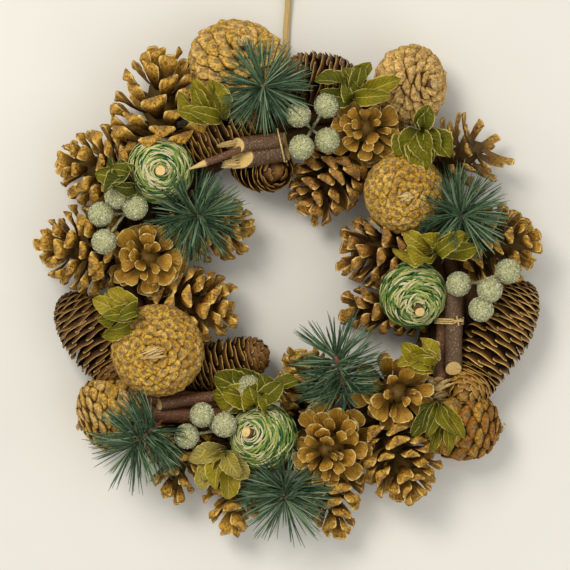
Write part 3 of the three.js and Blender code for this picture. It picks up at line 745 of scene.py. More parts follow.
def shut_cone(shell, base, tip, width, shields, tone, rng):
    """Shields in spirals from the stem to the tip, each with its outer edge raised over the next ones."""
    axis, side, front = cone_axes(base, tip)
    length = np.linalg.norm(tip - base)
    radius = width / 2

    def reach_from_middle(up):
        return (SHUT_BASE_SHARE if up < 0 else 1 - SHUT_BASE_SHARE) * length

    def surface(up, turn, share=1.0):
        """A place on an egg, from -1 at its base to 1 at its tip, and the way out of it."""
        round_way = aim(side, front, turn)
        reach, girth = reach_from_middle(up), radius * math.sqrt(max(0, 1 - up * up))
        place = base + axis * (SHUT_BASE_SHARE * length + up * reach * share) + round_way * girth * share
        return place, unit(axis * up / reach + round_way * girth / radius**2)

    ups, turns = np.linspace(-0.995, 0.995, CORE_RINGS), full_turn(CORE_SIDES)
    core = [[surface(up, turn, CORE_SHARE)[0] for turn in turns] for up in ups]
    # The core between the shields is all painted shade.
    shell.loft(np.array(core), tone=tone, rim=0.95)
    plump = 0.21 + 0.16 * min(tone, 0.55)
    widths, heights, greys, painted_shades = (column[:, None] for column in SHIELD_LEVELS.T)
    angle = full_turn(SHIELD_SIDES)
    x, y = np.cos(angle), np.sin(angle)
    wide = np.sign(x) * np.abs(x) ** 1.45
    tall = np.sign(y) * np.abs(y) ** np.where(y > 0, 1.15, 1.5)
    for i in range(shields):
        share = (i + 0.5) / shields
        up = 2 * share**SHIELD_CROWDING - 1
        step = 2 * SHIELD_CROWDING * share ** (SHIELD_CROWDING - 1) / shields
        slant_height = math.sqrt((radius * up) ** 2 + reach_from_middle(up) ** 2 * (1 - up * up))
        room = 2 * math.pi * radius * slant_height * step
        place, out = surface(up, i * GOLDEN_TURN)
        tipward = unit(axis - out * (axis @ out)) if abs(axis @ out) < 0.999 else side
        across = np.cross(tipward, out)
        lean = rng.uniform(*SHIELD_LEANS)
        out, tipward = unit(out - tipward * lean), unit(tipward + out * lean)
        size = math.sqrt(room) * rng.uniform(*SHIELD_SIZES)
        phase, fine_phase = rng.uniform(0, 6), rng.uniform(0, 6)
        ragged = 1 + 0.09 * np.sin(angle * 3 + phase) + 0.05 * np.sin(angle * 5 + fine_phase)
        outline = widths * size * ragged
        flat = (wide * outline * 1.12)[:, :, None] * across + (tall * outline * 0.98)[:, :, None] * tipward
        keel = (heights - 0.75 * np.abs(tall) ** 1.5 * widths * (heights > 0)) * plump * size
        shift = 0.22 * size * (1 - widths)
        rings = place + flat + keel[:, :, None] * out + shift[:, :, None] * tipward
        rings += crumple.normal(0, SHIELD_CRUMPLE, rings.shape)
        # Painted shade on each shield: its foot and the half towards the stem, which lie under the shields
        # before it.
        dark = np.maximum(painted_shades, widths * np.clip(-0.2 - tall, 0, 0.6))
        grey = greys * min(0.25 + 1.6 * tone, 1)
        shell.loft(rings, tone=tone + rng.uniform(-0.2, 0.2), spot=grey, rim=dark)


def cone_stub(shell, base, tip, reach, rng):
    """The cut stem at a cone's base, with torn fibres of wood over it."""
    out, side, front = cone_axes(tip, base)
    bark_twig(shell, base + out * STUB_OUT, base - out * STUB_IN, STEM_RADIUS, 0.4, rng, (0.3, 0))
    for i in range(STUB_SLIVERS):
        way = aim(side, front, STUB_SLIVER_TURN + i * 0.2)
        middle = base + (out * (2.4 + 0.5 * i) + np.cross(way, out) * (i - 1) * 1.7) * MM
        start, end = middle - way * (reach - i) * MM, middle + way * reach * MM
        torn_sliver(shell, start, end, STUB_SLIVER_RADIUS, rng)


shield = shield_finish()
rng = random.Random(13)
for name, (base, tip, width, shields, tone) in SHUT_CONES.items():
    base, tip, width = at(*base), at(*tip), width * MM
    shell = Shell()
    shut_cone(shell, base, tip, width, shields, tone, rng)
    take_room(base, tip, width)
    shell.piece(f"shut_cone_{name}", [f"closed_cone_{name}"], "closed_cone", shield)
    stub = Shell()
    cone_stub(stub, base, tip, STUB_REACHES_MM[name], rng)
    stub.piece(f"shut_cone_stub_{name}", [f"closed_cone_{name}"], "bark", bark)

# The rose cones: pine cones opened wide by warmth, glued on by the base, so that the tip faces out.
# Each scale is a hollow spoon, golden inside with fine streaks and a pale rim, partly where it has dried and
# partly a painted highlight.
SECTION_X = np.array([1, 0.88, 0.5, 0, -0.5, -0.88, -1, -0.72, -0.36, 0, 0.36, 0.72])  # across a scale
SECTION_UP = np.array([0, 1, 1, 1, 1, 1, 0, 0, 0, 0, 0, 0])  # on its upper face
SECTION_LOW = np.array([0, 0, 0, 0, 0, 0, 0, -0.4, -0.8, -1, -0.8, -0.4])  # on its back
SECTION_RIM = np.array([1, 0.3, 0, 0, 0, 0.3, 1, 0.2, 0, 0, 0, 0.2])  # on its pale rim
SPOON = {
    "stations": [  # way along the scale, width, depth of its back, depth of its hollow
        (0.0, 0.3, 0.4, 0.0),
        (0.25, 0.42, 0.4, 0.12),
        (0.48, 0.66, 0.45, 0.3),
        (0.66, 0.88, 0.65, 0.42),
        (0.8, 1.0, 0.95, 0.46),
        (0.89, 0.97, 1.0, 0.42),
        (0.95, 0.84, 0.85, 0.36),
        (1.0, 0.5, 0.4, 0.28),
    ],
    "lip": 0.3,  # height of its edge
    "slant": 0.35,  # of the back at its end
    "under_rim": 1,  # how pale the rim is on the back
    "boss": [],  # width and height of each ring on its end
    "crumple": 0.24 * MM,
    "deep": 0.3,  # depth, as a share of half its width
    "crowding": 0.84,  # over 1 is more scales near the base, under 1 near the tip
    "narrowing": 0.58,  # of the scales towards the tip
    "flare": 0.42,  # how far out a scale goes before it bends
    "rise": 0.62,  # how far up a scale goes before it bends
    "ragged": 2.7,
    "taper": 0.62,  # of the cone towards the tip
}
ROSE_CONES = {  # base, tip, width, number of scales, width of a scale
    "left": ((-97, 15.5, 18), (-97.5, 15, 69), 56, 36, 17.5),
    "top": ((52, 101, 18), (50, 105, 68), 54, 38, 16),
    "bottom": ((33, -109, 18), (20, -116, 69), 60, 42, 17),
    "right": ((67, -72, 18), (74, -77.5, 66), 57, 26, 17),
}
SHORTEST_SCALE = 3 * MM
SPINDLE_SHARE = 0.3  # of the cone's width
SPINDLE_RINGS = 10
SPINDLE_SIDES = 10


def is_free(point):
    """Whether a point lies outside the rooms of all pieces made so far."""
    for middle, axis, reach, radius in rooms:
        away = point - middle
        along = away @ axis
        if (along / reach) ** 2 + (away @ away - along**2) / radius**2 < 1:
            return False
    return True


def spoon_finish():
    finish = Finish("rose cone scales", 0.5, 0.25)
    streaks = finish.noise(6.0, 5.0, finish.grain_place(1.0, 5.0))
    # Along each scale the colour runs from near black at its root to golden at its end: its darker wood
    # inside the cone, deepened as painted shade.
    stops = (0.2, "#160a02"), (0.46, "#62400f"), (0.66, "#b17e20"), (0.95, "#d6a53c")
    body = finish.ramp(finish.layer("along"), *stops)
    body = finish.shaded(body, streaks, (0.36, "#6b4c26"), (0.56, "#ffffff"))
    body = finish.tinted(body, "tone", 0.35, "#c99a3a")
    body = finish.blotched(body, finish.noise(160.0, 4.0), 0.5, 0.75, 0.5, "#6b481a")
    body = finish.mix(finish.layer("spot"), body, "#8a7452")
    # The pale rim is partly dried wood and partly a painted highlight.
    finish.colour(finish.edged(body, 0.4, 0.9, "#f3da94"))
    finish.bump(streaks, 0.0005, 0.8)
    return finish.material


def cone_scale(shell, root, bend, end, across, width, depth, shape, tone, unshaded=0.0):
    """One woody scale on a curve from its root to its end.

    Its shape gives, at each place along it, its width and the depth of its back, both as shares, and how far
    its upper face is hollowed. Its colour runs from painted shade at the root to its end; the last argument
    leaves that share of the painted shade out, so that the scale is paler all over.
    """
    ways, widths, depths, cup = (np.array(row) for row in zip(*shape["stations"]))
    t = ways[:, None]
    middle = (1 - t) ** 2 * root + 2 * t * (1 - t) * bend + t**2 * end
    along = units(2 * (1 - t) * (bend - root) + 2 * t * (end - bend))
    up = units(np.cross(along, across))
    wide = (widths * width)[:, None] * SECTION_X
    hollow = (cup * width)[:, None] * SECTION_X**2
    under = (depths * depth)[:, None] * SECTION_LOW
    tall = hollow + shape["lip"] * depth * SECTION_UP * 0.5 + under
    back = shape["slant"] * under * np.clip((t - 0.6) * 2.5, 0, 1)
    rings = middle[:, None, :] + wide[:, :, None] * across + tall[:, :, None] * up[:, None, :]
    rings = rings + back[:, :, None] * along[:, None, :]
    # The pale rim: partly where the scale has dried, and partly a painted highlight in the finishes.
    rim = np.maximum(SECTION_RIM * np.clip((t - 0.35) * 2, 0, 1), np.clip((t - 0.93) * 14, 0, 1))
    rim = rim * np.where(SECTION_LOW < 0, shape["under_rim"], 1)
    centre = rings[-1].mean(axis=0)
    caps = [
        centre + (rings[-1] - centre) * share + along[-1] * depth * proud
        for share, proud in shape["boss"]
    ]
    rings = np.concatenate([rings, np.reshape(caps, (-1, len(SECTION_X), 3))])
    t = np.concatenate([t, np.ones((len(caps), 1))])
    widths = np.concatenate([widths, [share for share, _ in shape["boss"]]])[:, None]
    rim = np.concatenate([rim, np.zeros((len(caps), len(SECTION_X)))])
    boss = np.clip(0.75 - widths, 0, 0.35) / 0.35 * (t == 1)
    rings = rings + crumple.normal(0, shape["crumple"], rings.shape) * np.clip(t[:, :, None] * 2, 0, 1)
    shell.loft(rings, along=unshaded + (1 - unshaded) * t, across=SECTION_X * widths, tone=tone, rim=rim, spot=boss)


def open_cone(shell, base, tip, width, scales, size, shape, rng):
    """Scales in spirals round a spindle, opened outwards at the base and upwards at the tip."""
    axis, side, front = cone_axes(base, tip)
    length = np.linalg.norm(tip - base)
    radius = width / 2
    ragged = shape["ragged"]

    def spindle(way):
        return radius * SPINDLE_SHARE * math.sqrt(max(0.02, 1 - (2 * way - 1) ** 2))

    round_ways = circle(side, front, full_turn(SPINDLE_SIDES))
    ways = np.linspace(0, 1, SPINDLE_RINGS)
    core = [base + axis * length * (0.02 + 0.8 * way) + round_ways * spindle(way) for way in ways]
    # The spindle takes the near-black start of the along ramp, as painted shade deep in the cone.
    shell.loft(np.array(core), along=0.05, tone=0.5)
    for i in range(scales):
        way = ((i + 0.5) / scales) ** shape["crowding"]
        turn = i * GOLDEN_TURN + rng.uniform(-0.12, 0.12) * ragged
        out, across = aim(side, front, turn), aim(front, -side, turn)
        root = base + axis * length * (0.04 + 0.74 * way) + out * spindle(way) * 0.8
        spread = radius * math.sin(math.pi * (0.3 + shape["taper"] * way)) ** 0.8
        spread *= rng.uniform(1 - 0.06 * ragged, 1.06)
        rise = length * min(1, 0.12 + 0.86 * way**0.85 + rng.uniform(-0.03, 0.03) * ragged)
        end = base + axis * rise + out * spread
        reach = np.linalg.norm(end - root)
        while not is_free(end) and np.linalg.norm(end - root) > SHORTEST_SCALE:
            end = end + (root - end) * 0.12
        kept = max(0.45, np.linalg.norm(end - root) / reach)
        upward = (end - root) @ axis * rng.uniform(0.8, 1.2) * shape["rise"]
        bend = root + out * ((end - root) @ out) * shape["flare"] + axis * upward
        share = (1 - shape["narrowing"] * way**1.5) * (0.72 + 0.28 * min(1, way * 5))
        wide = size / 2 * share * kept * (1 + rng.uniform(-0.13, 0.13) * ragged)
        across = unit(across + axis * rng.uniform(-0.2, 0.2) * ragged * (1 + way * way))
        deep = wide * shape["deep"] * rng.uniform(0.85, 1.15)
        cone_scale(shell, root, bend, end, across, wide, deep, shape, rng.random())


spoon = spoon_finish()
rng = random.Random(17)
for name, (base, tip, width, scales, size) in ROSE_CONES.items():
    base, tip, width = at(*base), at(*tip), width * MM
    shell = Shell()
    open_cone(shell, base, tip, width, scales, size * MM, SPOON, rng)
    take_room(base, tip, width)
    shell.piece(f"rose_shaped_cone_{name}", [f"rose_cone_{name}"], "rose_cone", spoon)

# The spruce cones: long cones with many thin scales that lie over each other like shingles.
# They are glued on by their side, most of them along the ring. Brown and a little glossy, each scale with
# a thin pale edge, partly its own colour and partly a painted highlight, and painted shade in the gap under
# it.
SHINGLE = {
    "stations": [
        (0.0, 0.5, 1.0, 0.12),
        (0.35, 0.8, 1.0, 0.18),
        (0.65, 0.98, 0.8, 0.24),
        (0.83, 1.0, 0.6, 0.25),
        (0.93, 0.9, 0.5, 0.21),
        (0.98, 0.74, 0.45, 0.16),
        (1.0, 0.55, 0.4, 0.1),
    ],
    "lip": 0.1,
    "slant": 0.0,
    "under_rim": 1,
    "boss": [],
    "crumple": 0.07 * MM,
}
BUD_SHINGLE = SHINGLE | {
    "stations": [(*station[:3], station[3] + 0.08) for station in SHINGLE["stations"]],
    "under_rim": 0.3,
}
SPRUCE_CONES = {  # base, tip, width, finish
    "right": ((164, -2, 26), (114, -84, 28), 43, "pale"),
    "left": ((-156, -10, 25), (-116, -69, 25), 41, "brown"),
    "top_left": ((-78, 88, 37), (-18, 115, 36), 37, "brown"),
    "top": ((48, 133, 24), (-4, 145, 24), 37, "brown"),
    "inner_top": ((-38, 89, 16), (-5.5, 73, 45), 38, "brown"),
    "inner_bottom": ((-76, -66, 20), (-15.5, -48.5, 28), 35, "brown"),
}
CURLS = dict.fromkeys(SPRUCE_CONES, 0.02) | {"right": 0.95, "inner_top": 0.5, "left": 0.3}  # radians
CURL_SHARE = 0.3  # of the length, at the tip
SPRUCE_BASE_SHARE = 0.4  # of the length, from the base to the widest place
SHINGLE_SPACING = MM / 1.9
SHINGLE_WIDTH = 10.6 * MM  # half of the widest
SHINGLE_DEPTH = 1.1 * MM
SHINGLE_SEAT = 8 * MM  # how far inwards the deepest goes
BUD_SHARE = 0.45  # of the way from the widest place to the tip


def shingle_finish(name, flank, end, edge):
    finish = Finish(name, 0.5, 0.25)
    streaks = finish.noise(7.0, 4.0, finish.grain_place(1.0, 4.0))
    # Along each scale the colour runs from near black at its root, painted shade where it lies under the
    # scales before it, to its flank and end.
    body = finish.ramp(finish.layer("along"), (0.4, "#120803"), (0.7, "#301b08"), (0.87, flank), (1.0, end))
    body = finish.shaded(body, streaks, (0.3, "#8f7650"), (0.65, "#ffffff"))
    body = finish.tinted(body, "tone", 0.25, "#6e4a1b")
    # The pale edge is partly the scale's own colour and partly a painted highlight.
    finish.colour(finish.edged(body, 0.5, 0.95, edge))
    finish.bump(streaks, 0.0004, 0.7)
    return finish.material


def spruce_cone(shell, base, tip, width, curl, rng):
    """A cone whose end turns up by the angle curl and whose last scales are shut over a bud."""
    axis, side, front = cone_axes(base, tip)
    raised = unit(UP - axis * axis[2])
    length = np.linalg.norm(tip - base)
    radius = width / 2
    scales = int(length / SHINGLE_SPACING)

    def height_at(up):
        return length * (SPRUCE_BASE_SHARE + (SPRUCE_BASE_SHARE if up < 0 else 1 - SPRUCE_BASE_SHARE) * up)

    def skin(up, out, swell):
        return base + axis * height_at(up) + out * radius * swell * math.sqrt(max(0, 1 - up * up))

    def bent(places):
        """The places of the straight cone, moved to where they are on the bent one."""
        curled = CURL_SHARE * length
        late = np.maximum(0, (places - base) @ axis - (length - curled))[:, None]
        lever = curled / curl
        turn = late / curled * curl
        off = ((places - base) @ raised)[:, None]
        forward = (lever - off) * np.sin(turn) - late
        return places + axis * forward + raised * (lever - off) * (1 - np.cos(turn))

    round_ways = circle(side, front, full_turn(12))
    core = [bent(skin(up, round_ways, 0.58)) for up in np.linspace(-0.99, 0.97, 10)]
    # The core takes the near-black start of the along ramp, as painted shade between the scales.
    shell.loft(np.array(core), along=0.1, tone=0.2)
    for i in range(scales):
        share = (i + 0.5) / scales
        up = 2 * share - 1 - 0.12 * math.sin(2 * math.pi * share)
        turn = i * GOLDEN_TURN
        out, across = aim(side, front, turn), aim(front, -side, turn)
        girth = radius * math.sqrt(1 - up * up)
        shut = min(max((up - 1 + BUD_SHARE) / BUD_SHARE, 0), 1)
        pressed = 1 - min(max((-up - 0.3) / 0.6, 0), 1)
        height = min(height_at(up) + 3 * pressed * MM, length)
        end = base + axis * height + out * girth * rng.uniform(0.97, 1.02)
        sunk = min(6 * pressed * MM, (end - base) @ axis - 0.3 * MM)
        root = end - out * min(girth * 0.5, SHINGLE_SEAT) - axis * sunk
        end = end + (skin(min(up + 0.07, 1), out, 1.34) + axis * 0.8 * MM - end) * shut
        root = root + (skin(up - 0.24, out, 0.86) - root) * shut
        bend = root + (end - root) * 0.5 + (out * (1.6 + 0.4 * shut) - axis * 0.8 * (1 - shut)) * MM
        wide = min(SHINGLE_WIDTH, girth * 0.56 + 1.4 * MM) * rng.uniform(0.9, 1.08) * (1 - 0.25 * shut)
        across = unit(across + axis * rng.uniform(-0.09, 0.09))
        # The scales at the base and the shut scales of the bud show their roots, so less of the painted shade
        # is put on them.
        unshaded = min(max(-1.2 * up - 0.9, 1.2 * shut, 0), 0.5)
        shape = BUD_SHINGLE if shut > 0.2 else SHINGLE
        cone_scale(shell, root, bend, end, across, wide, SHINGLE_DEPTH, shape, rng.random(), unshaded)
        shell.places[-1] = bent(shell.places[-1])


SHINGLE_FINISHES = {
    "pale": shingle_finish("spruce cone scales", "#805820", "#cb9c45", "#dbb76c"),
    "brown": shingle_finish("brown spruce cone scales", "#62421a", "#9a6f30", "#bd9852"),
}
rng = random.Random(19)
for name, (base, tip, width, kind) in SPRUCE_CONES.items():
    base, tip, width = at(*base), at(*tip), width * MM
    shell = Shell()
    spruce_cone(shell, base, tip, width, CURLS[name], rng)
    take_room(base, tip, width)
    shell.piece(f"long_spruce_cone_{name}", [f"spruce_cone_{name}"], "spruce_cone", SHINGLE_FINISHES[kind])

# The opened pine cones: most are glued on with the tip outwards round the rim, some point into the middle.
# Woody scales on a spindle, red-brown inside, each ending in a thick ochre diamond with a small grey boss.
FINGER = {
    "stations": [
        (0.0, 0.36, 0.2, 0.0),
        (0.25, 0.42, 0.18, 0.02),
        (0.5, 0.6, 0.22, 0.05),
        (0.7, 0.84, 0.34, 0.08),
        (0.84, 0.98, 0.62, 0.08),
        (0.93, 1.0, 0.96, 0.05),
        (0.98, 0.95, 1.0, 0.04),
        (1.0, 0.84, 0.8, 0.03),
    ],
    "lip": 0.2,
    "slant": 0.5,
    "under_rim": 0.3,
    "boss": [(0.74, 0.16), (0.42, 0.24), (0.32, 0.16), (0.14, 0.3)],
    "crumple": 0.17 * MM,
    "deep": 0.66,
    "crowding": 1.3,
    "narrowing": 0.4,
    "flare": 0.66,
    "rise": 0.2,
    "ragged": 1.3,
    "taper": 0.66,
}
INNER_FINGER = FINGER | {"taper": 0.56}
LONG_FINGER = FINGER | {
    "stations": [
        (way, 0.5 + 0.5 * wide, 0.3 + 0.7 * deep, cup)
        for way, wide, deep, cup in FINGER["stations"]
    ],
    "deep": 0.5,
    "crowding": 1.0,
    "narrowing": 0.2,
    "ragged": 1.6,
    "taper": 0.42,
}
OPEN_CONES = {  # base, tip, width, number of scales, width of a scale, finish
    "top_left": ((-88, 80, 28), (-89, 162, 37), 70, 50, 19, "open"),
    "left_upper": ((-101, 70, 25), (-163, 84, 35), 58, 50, 16.5, "open"),
    "left": ((-114, 19.5, 27), (-175.5, 26, 35), 60, 54, 16, "open"),
    "right": ((122, 22, 20), (169, 27, 48), 57, 46, 15.5, "open"),
    "right_upper": ((99, 74, 20), (137.5, 98, 43), 56, 30, 9.5, "grey"),
    "bottom_right": ((62, -96, 20), (86, -151, 46), 56, 56, 17, "open"),
    "inner_left": ((-94, -14, 24), (-34.5, -18.5, 34), 50, 48, 17, "red"),
    "inner_top": ((44, 94, 18), (7.5, 45, 32), 46, 58, 17, "dark"),
    "inner_right": ((101, 28, 22), (30, 18, 34), 50, 62, 16, "dark"),
    "inner_low_right": ((100, -20, 20), (30, -19.5, 24), 34, 44, 14, "dark"),
    "inner_bottom": ((14, -98, 18), (8, -43.5, 28), 38, 44, 15.5, "open"),
    "inner_upper_left": ((-88, 43, 22), (-24.5, 31.5, 28), 46, 50, 15.5, "red"),
    "bottom_left": ((-74, -96, 22), (-82, -154, 28), 44, 36, 14, "open"),
    "bottom": ((-32, -115, 20), (-43, -177, 28), 44, 34, 16, "open"),
    "bottom_middle": ((27, -117, 22), (31.5, -177, 27), 41, 36, 17.5, "open"),
}


def finger_finish(name, inside, flank, ends):
    """The colours go from the inside of the cone, darkened there as painted shade, along the flank of a
    scale, to its thick end, whose pale edge is partly a painted highlight.
    """
    finish = Finish(name, 0.66)
    grain = finish.noise(480.0, 5.0, roughness=0.7)
    streaks = finish.noise(6.0, 4.0, finish.grain_place(1.5, 4.0))
    # The inside colours are partly the darker red-brown wood and partly painted shade, near black at the
    # root.
    body = finish.ramp(finish.layer("along"), (0.05, inside[0]), (0.5, inside[1]), (0.68, flank), (0.8, ends))
    body = finish.shaded(body, streaks, (0.3, "#95795a"), (0.65, "#ffffff"))
    body = finish.shaded(body, grain, (0.38, "#7a5c34"), (0.54, "#fffae6"))
    body = finish.tinted(body, "tone", 0.2, ends)
    body = finish.tinted(body, "spot", 0.7, "#80694a")
    # The pale edge is partly the scale's own colour and partly a painted highlight.
    finish.colour(finish.edged(body, 0.4, 1.05, "#f0d084"))
    finish.bump(finish.noise(700.0, 4.0), 0.0008, 0.9)
    return finish.material


FINGER_FINISHES = {
    "open": finger_finish("opened cone", ("#200e05", "#5d3612"), "#98702a", "#ddb252"),
    "grey": finger_finish("weathered cone", ("#2c1809", "#80592a"), "#b38b42", "#d0aa63"),
    "dark": finger_finish("dark opened cone", ("#1a0a05", "#45200f"), "#774b22", "#c2954c"),
    "red": finger_finish("red opened cone", ("#2c1206", "#7a4314"), "#b3802c", "#e0b558"),
}
rng = random.Random(23)
for name, (base, tip, width, scales, size, kind) in OPEN_CONES.items():
    base, tip, width = at(*base), at(*tip), width * MM
    shell = Shell()
    shape = LONG_FINGER if kind == "grey" else INNER_FINGER if "inner" in name else FINGER
    open_cone(shell, base, tip, width, scales, size * MM, shape, rng)
    take_room(base, tip, width)
    slot = "dark_cone" if kind == "dark" else "open_cone"
    shell.piece(f"opened_cone_{name}", [f"open_cone_{name}"], slot, FINGER_FINISHES[kind])

# The berries: foam balls on wires, rolled in glue and then in fine glass beads. The wires are beaded too,
# and glued into the ring. Pale grey-green where the ball shows between the beads, glittering at the edge.
BERRIES = {  # where the wires meet, and the middle of each berry
    "top": ((14, 103, 44), (5, 112, 58), (24, 118.5, 57), (7, 90, 64), (24.5, 95, 59)),
    "left": ((-113, 46, 44), (-117.5, 57, 58), (-105, 49.5, 61), (-128.5, 45, 57), (-126, 26.5, 61)),
    "right": ((127, -1, 45), (113, -2, 60), (146, 6.5, 62), (133.5, -6, 65), (128, -19, 61)),
    "bottom": ((-53, -102, 46), (-28, -71.5, 56), (-60, -90.5, 57), (-45, -97, 60), (-70.5, -105, 54)),
}
BERRY_RADIUS = 8.7 * MM
GLUE_DEPTH = 0.55 * MM
BEADS = 430  # on a berry
BEAD_RADII_MM = (0.36, 0.7)
WIRE_BEAD_RADII_MM = (0.35, 0.55)
WIRE_RADIUS = 1.1 * MM  # with its beads
WIRE_BEAD_SPACING = 0.2 * MM
SEAT_REACH = 13 * MM  # how far from the ring's middle line a stem may go in
SEAT_HEIGHT = 7 * MM  # above that line


def foam_finish():
    finish = Finish("berry foam", 0.6)
    grain = finish.noise(500.0, 3.0)
    finish.colour(finish.ramp(grain, (0.3, "#96976b"), (0.7, "#c2c190")))
    finish.bump(grain, 0.0004, 0.5)
    return finish.material


def bead_finish():
    finish = Finish("glass beads", 0.12, 0.6, coat=0.5)
    stops = (0.0, "#767a5c"), (0.5, "#a7a985"), (0.8, "#c4c5a8"), (1.0, "#f6f5ea")
    finish.colour(finish.ramp(finish.layer("tone"), *stops))
    finish.rough(finish.spread(finish.noise(300.0), 0.3, 0.7, 0.08, 0.3))
    return finish.material


def ball_rings(middle, radius, rows, around):
    turns = -full_turn(around)
    flat = np.stack([np.cos(turns), np.sin(turns), 0 * turns], 1)
    slopes = np.linspace(0.03, math.pi - 0.03, rows)
    return np.array([middle + radius * (flat * math.sin(slope) + UP * math.cos(slope)) for slope in slopes])


def glue_bead(shell, middle, radius, rng):
    shell.loft(ball_rings(middle, radius, 3, 5), tone=rng.random())


def ring_seat(point):
    """The place on the ring where the stem or wire of a piece goes in."""
    middle = at(RING_RIGHT_OF_MIDDLE / MM, 0, 0)
    away = (point - middle) * np.array([1, 1, 0])
    reach = min(max(np.linalg.norm(away), RING_RADIUS - SEAT_REACH), RING_RADIUS + SEAT_REACH)
    return middle + unit(away) * reach + UP * (RING_HEIGHT + SEAT_HEIGHT)


foam, bead = foam_finish(), bead_finish()
rng = random.Random(29)
for name, (hub, *middles) in BERRIES.items():
    hub = at(*hub)
    middles = [at(*middle) for middle in middles]
    wires = [(hub, middle) for middle in middles] + [(ring_seat(hub), hub)]
    balls, beads = Shell(), Shell()
    for start, end in wires:
        balls.loft(tube(line(start, end, 8), WIRE_RADIUS * 0.8, 6), tone=0.3)
        for _ in range(int(np.linalg.norm(end - start) / WIRE_BEAD_SPACING)):
            place = start + (end - start) * rng.random()
            out = unit(np.array([rng.gauss(0, 1) for _ in range(3)]))
            glue_bead(beads, place + out * WIRE_RADIUS * 0.9, rng.uniform(*WIRE_BEAD_RADII_MM) * MM, rng)
    for middle in middles:
        balls.loft(ball_rings(middle, BERRY_RADIUS - GLUE_DEPTH, 14, 22), tone=0.5)
        take_room(middle - UP * BERRY_RADIUS, middle + UP * BERRY_RADIUS, 2 * BERRY_RADIUS)
        for i in range(BEADS):
            up = 1 - 2 * (i + 0.5) / BEADS
            turn = i * GOLDEN_TURN + rng.uniform(-0.1, 0.1)
            flat = math.sqrt(1 - up * up)
            out = np.array([flat * math.cos(turn), flat * math.sin(turn), up])
            size = rng.uniform(*BEAD_RADII_MM) * MM
            glue_bead(beads, middle + out * (BERRY_RADIUS - size * 0.8), size, rng)
    balls.piece(f"berry_balls_{name}", [f"berries_{name}"], "frosted_berry", foam)
    beads.piece(f"berry_beads_{name}", [f"berries_{name}"], "frosted_berry", bead, 80)

# The leaves: small dried leaves in clumps on a short stem that is glued in, each a little folded, curled
# and waved. Olive and yellow-green, dry and matt, with a pale dried edge, a pale rib and fine veins.
LEAVES = {  # root, tone, and each leaf's heading and pitch in degrees, length and width
    "left_upper": ((-108, 66, 50), 0.12, [(125, 12, 24, 13), (165, 8, 26, 13), (205, 5, 26, 13)]),
    "top_left": (
        (-48, 109, 51),
        0.6,
        [(102, 28, 30, 13), (124, 14, 33, 14), (146, 6, 34, 14), (170, 20, 30, 12)],
    ),
    "top": ((43, 124, 50), 0.34, [(158, 10, 30, 15), (112, 18, 22, 16), (66, 8, 26, 13), (20, 26, 36, 13)]),
    "right_upper": (
        (87, 102, 52),
        0.4,
        [(-118, 8, 27, 19), (-84, 16, 29, 19), (-44, 8, 28, 17), (70, 20, 18, 14)],
    ),
    "left": (
        (-104, -22, 51),
        0.6,
        [(190, 18, 28, 12), (162, 4, 32, 13), (214, 6, 28, 13), (140, 16, 26, 11), (184, 34, 26, 12)],
    ),
    "bottom_left": (
        (-20, -80, 42),
        0.36,
        [(154, 6, 36, 20), (172, 4, 34, 19), (128, 20, 27, 17), (92, 22, 24, 16), (28, 10, 28, 15)],
    ),
    "right_low": ((94, -58, 48), 0.5, [(110, 20, 22, 13), (142, 10, 25, 14), (176, 18, 24, 13)]),
    "bottom_right": (
        (100, -82, 48),
        0.3,
        [(-128, 8, 30, 11), (-102, 20, 36, 10), (-80, 4, 36, 11), (-56, 16, 30, 10)],
    ),
    "bottom": (
        (-44, -115, 42),
        0.85,
        [(-165, 12, 27, 14), (-124, 2, 32, 15), (-88, 4, 33, 15), (-50, 8, 24, 14)],
    ),
    "right": ((98, 20, 52), 0.6, [(150, 20, 27, 13), (176, 8, 30, 12), (8, 8, 30, 12), (34, 22, 24, 12)]),
}
LEAF_STEP = 3.2 * MM  # up the stem, from one leaf to the next
BLADE_ROWS = 17
BLADE_COLUMNS = 9
BLADE_THICKNESS = 0.45 * MM
BLADE_FOLDS = (0.3, 0.9)
BLADE_CURLS_MM = (2.5, 8.5)
BLADE_ROLL = 0.85
WAVE_HEIGHT = 2.1 * MM
FINE_WAVE_HEIGHT = 0.6 * MM
STEEPEST = 60
PITCH_STEP = 5
COMPANION_LENGTHS = (0.86, 0.72)  # as shares of the leaf that they grow beside
LEAF_STEM_RADIUS = 0.9 * MM


def leaf_finish():
    finish = Finish("dried leaf", 0.6)
    blotch = finish.spread(finish.noise(160.0, 4.0), 0.3, 0.7, -0.12, 0.12)
    body = finish.ramp(
        finish.maths("ADD", finish.layer("tone"), blotch),
        (0.0, "#3d440c"),
        (0.3, "#63600a"),
        (0.5, "#83760b"),
        (0.7, "#9f8c1f"),
        (0.95, "#ab9b55"),
    )
    veins = finish.maths("SINE", finish.maths("MULTIPLY", finish.layer("spot"), 60.0))
    # Painted shade: each blade is darkened towards its foot, where it lies deep in the clump.
    body = finish.mix(finish.spread(finish.layer("along"), 0.0, 0.4, 0.75, 0.0), body, "#1e2204")
    body = finish.blotched(body, veins, 0.8, 1.0, 0.15, "#a8a45c")
    body = finish.blotched(body, finish.noise(900.0, 3.0), 0.35, 0.7, 0.4, "#3a3c0a")
    finish.colour(finish.edged(body, 0.6, 1.05, "#dcc978"))
    finish.bump(finish.maths("ADD", veins, finish.noise(500.0, 4.0)), 0.0004, 0.5)
    return finish.material


def turned(a, b, angle):
    """Two coordinates after a turn of both about the third."""
    return a * math.cos(angle) - b * math.sin(angle), a * math.sin(angle) + b * math.cos(angle)


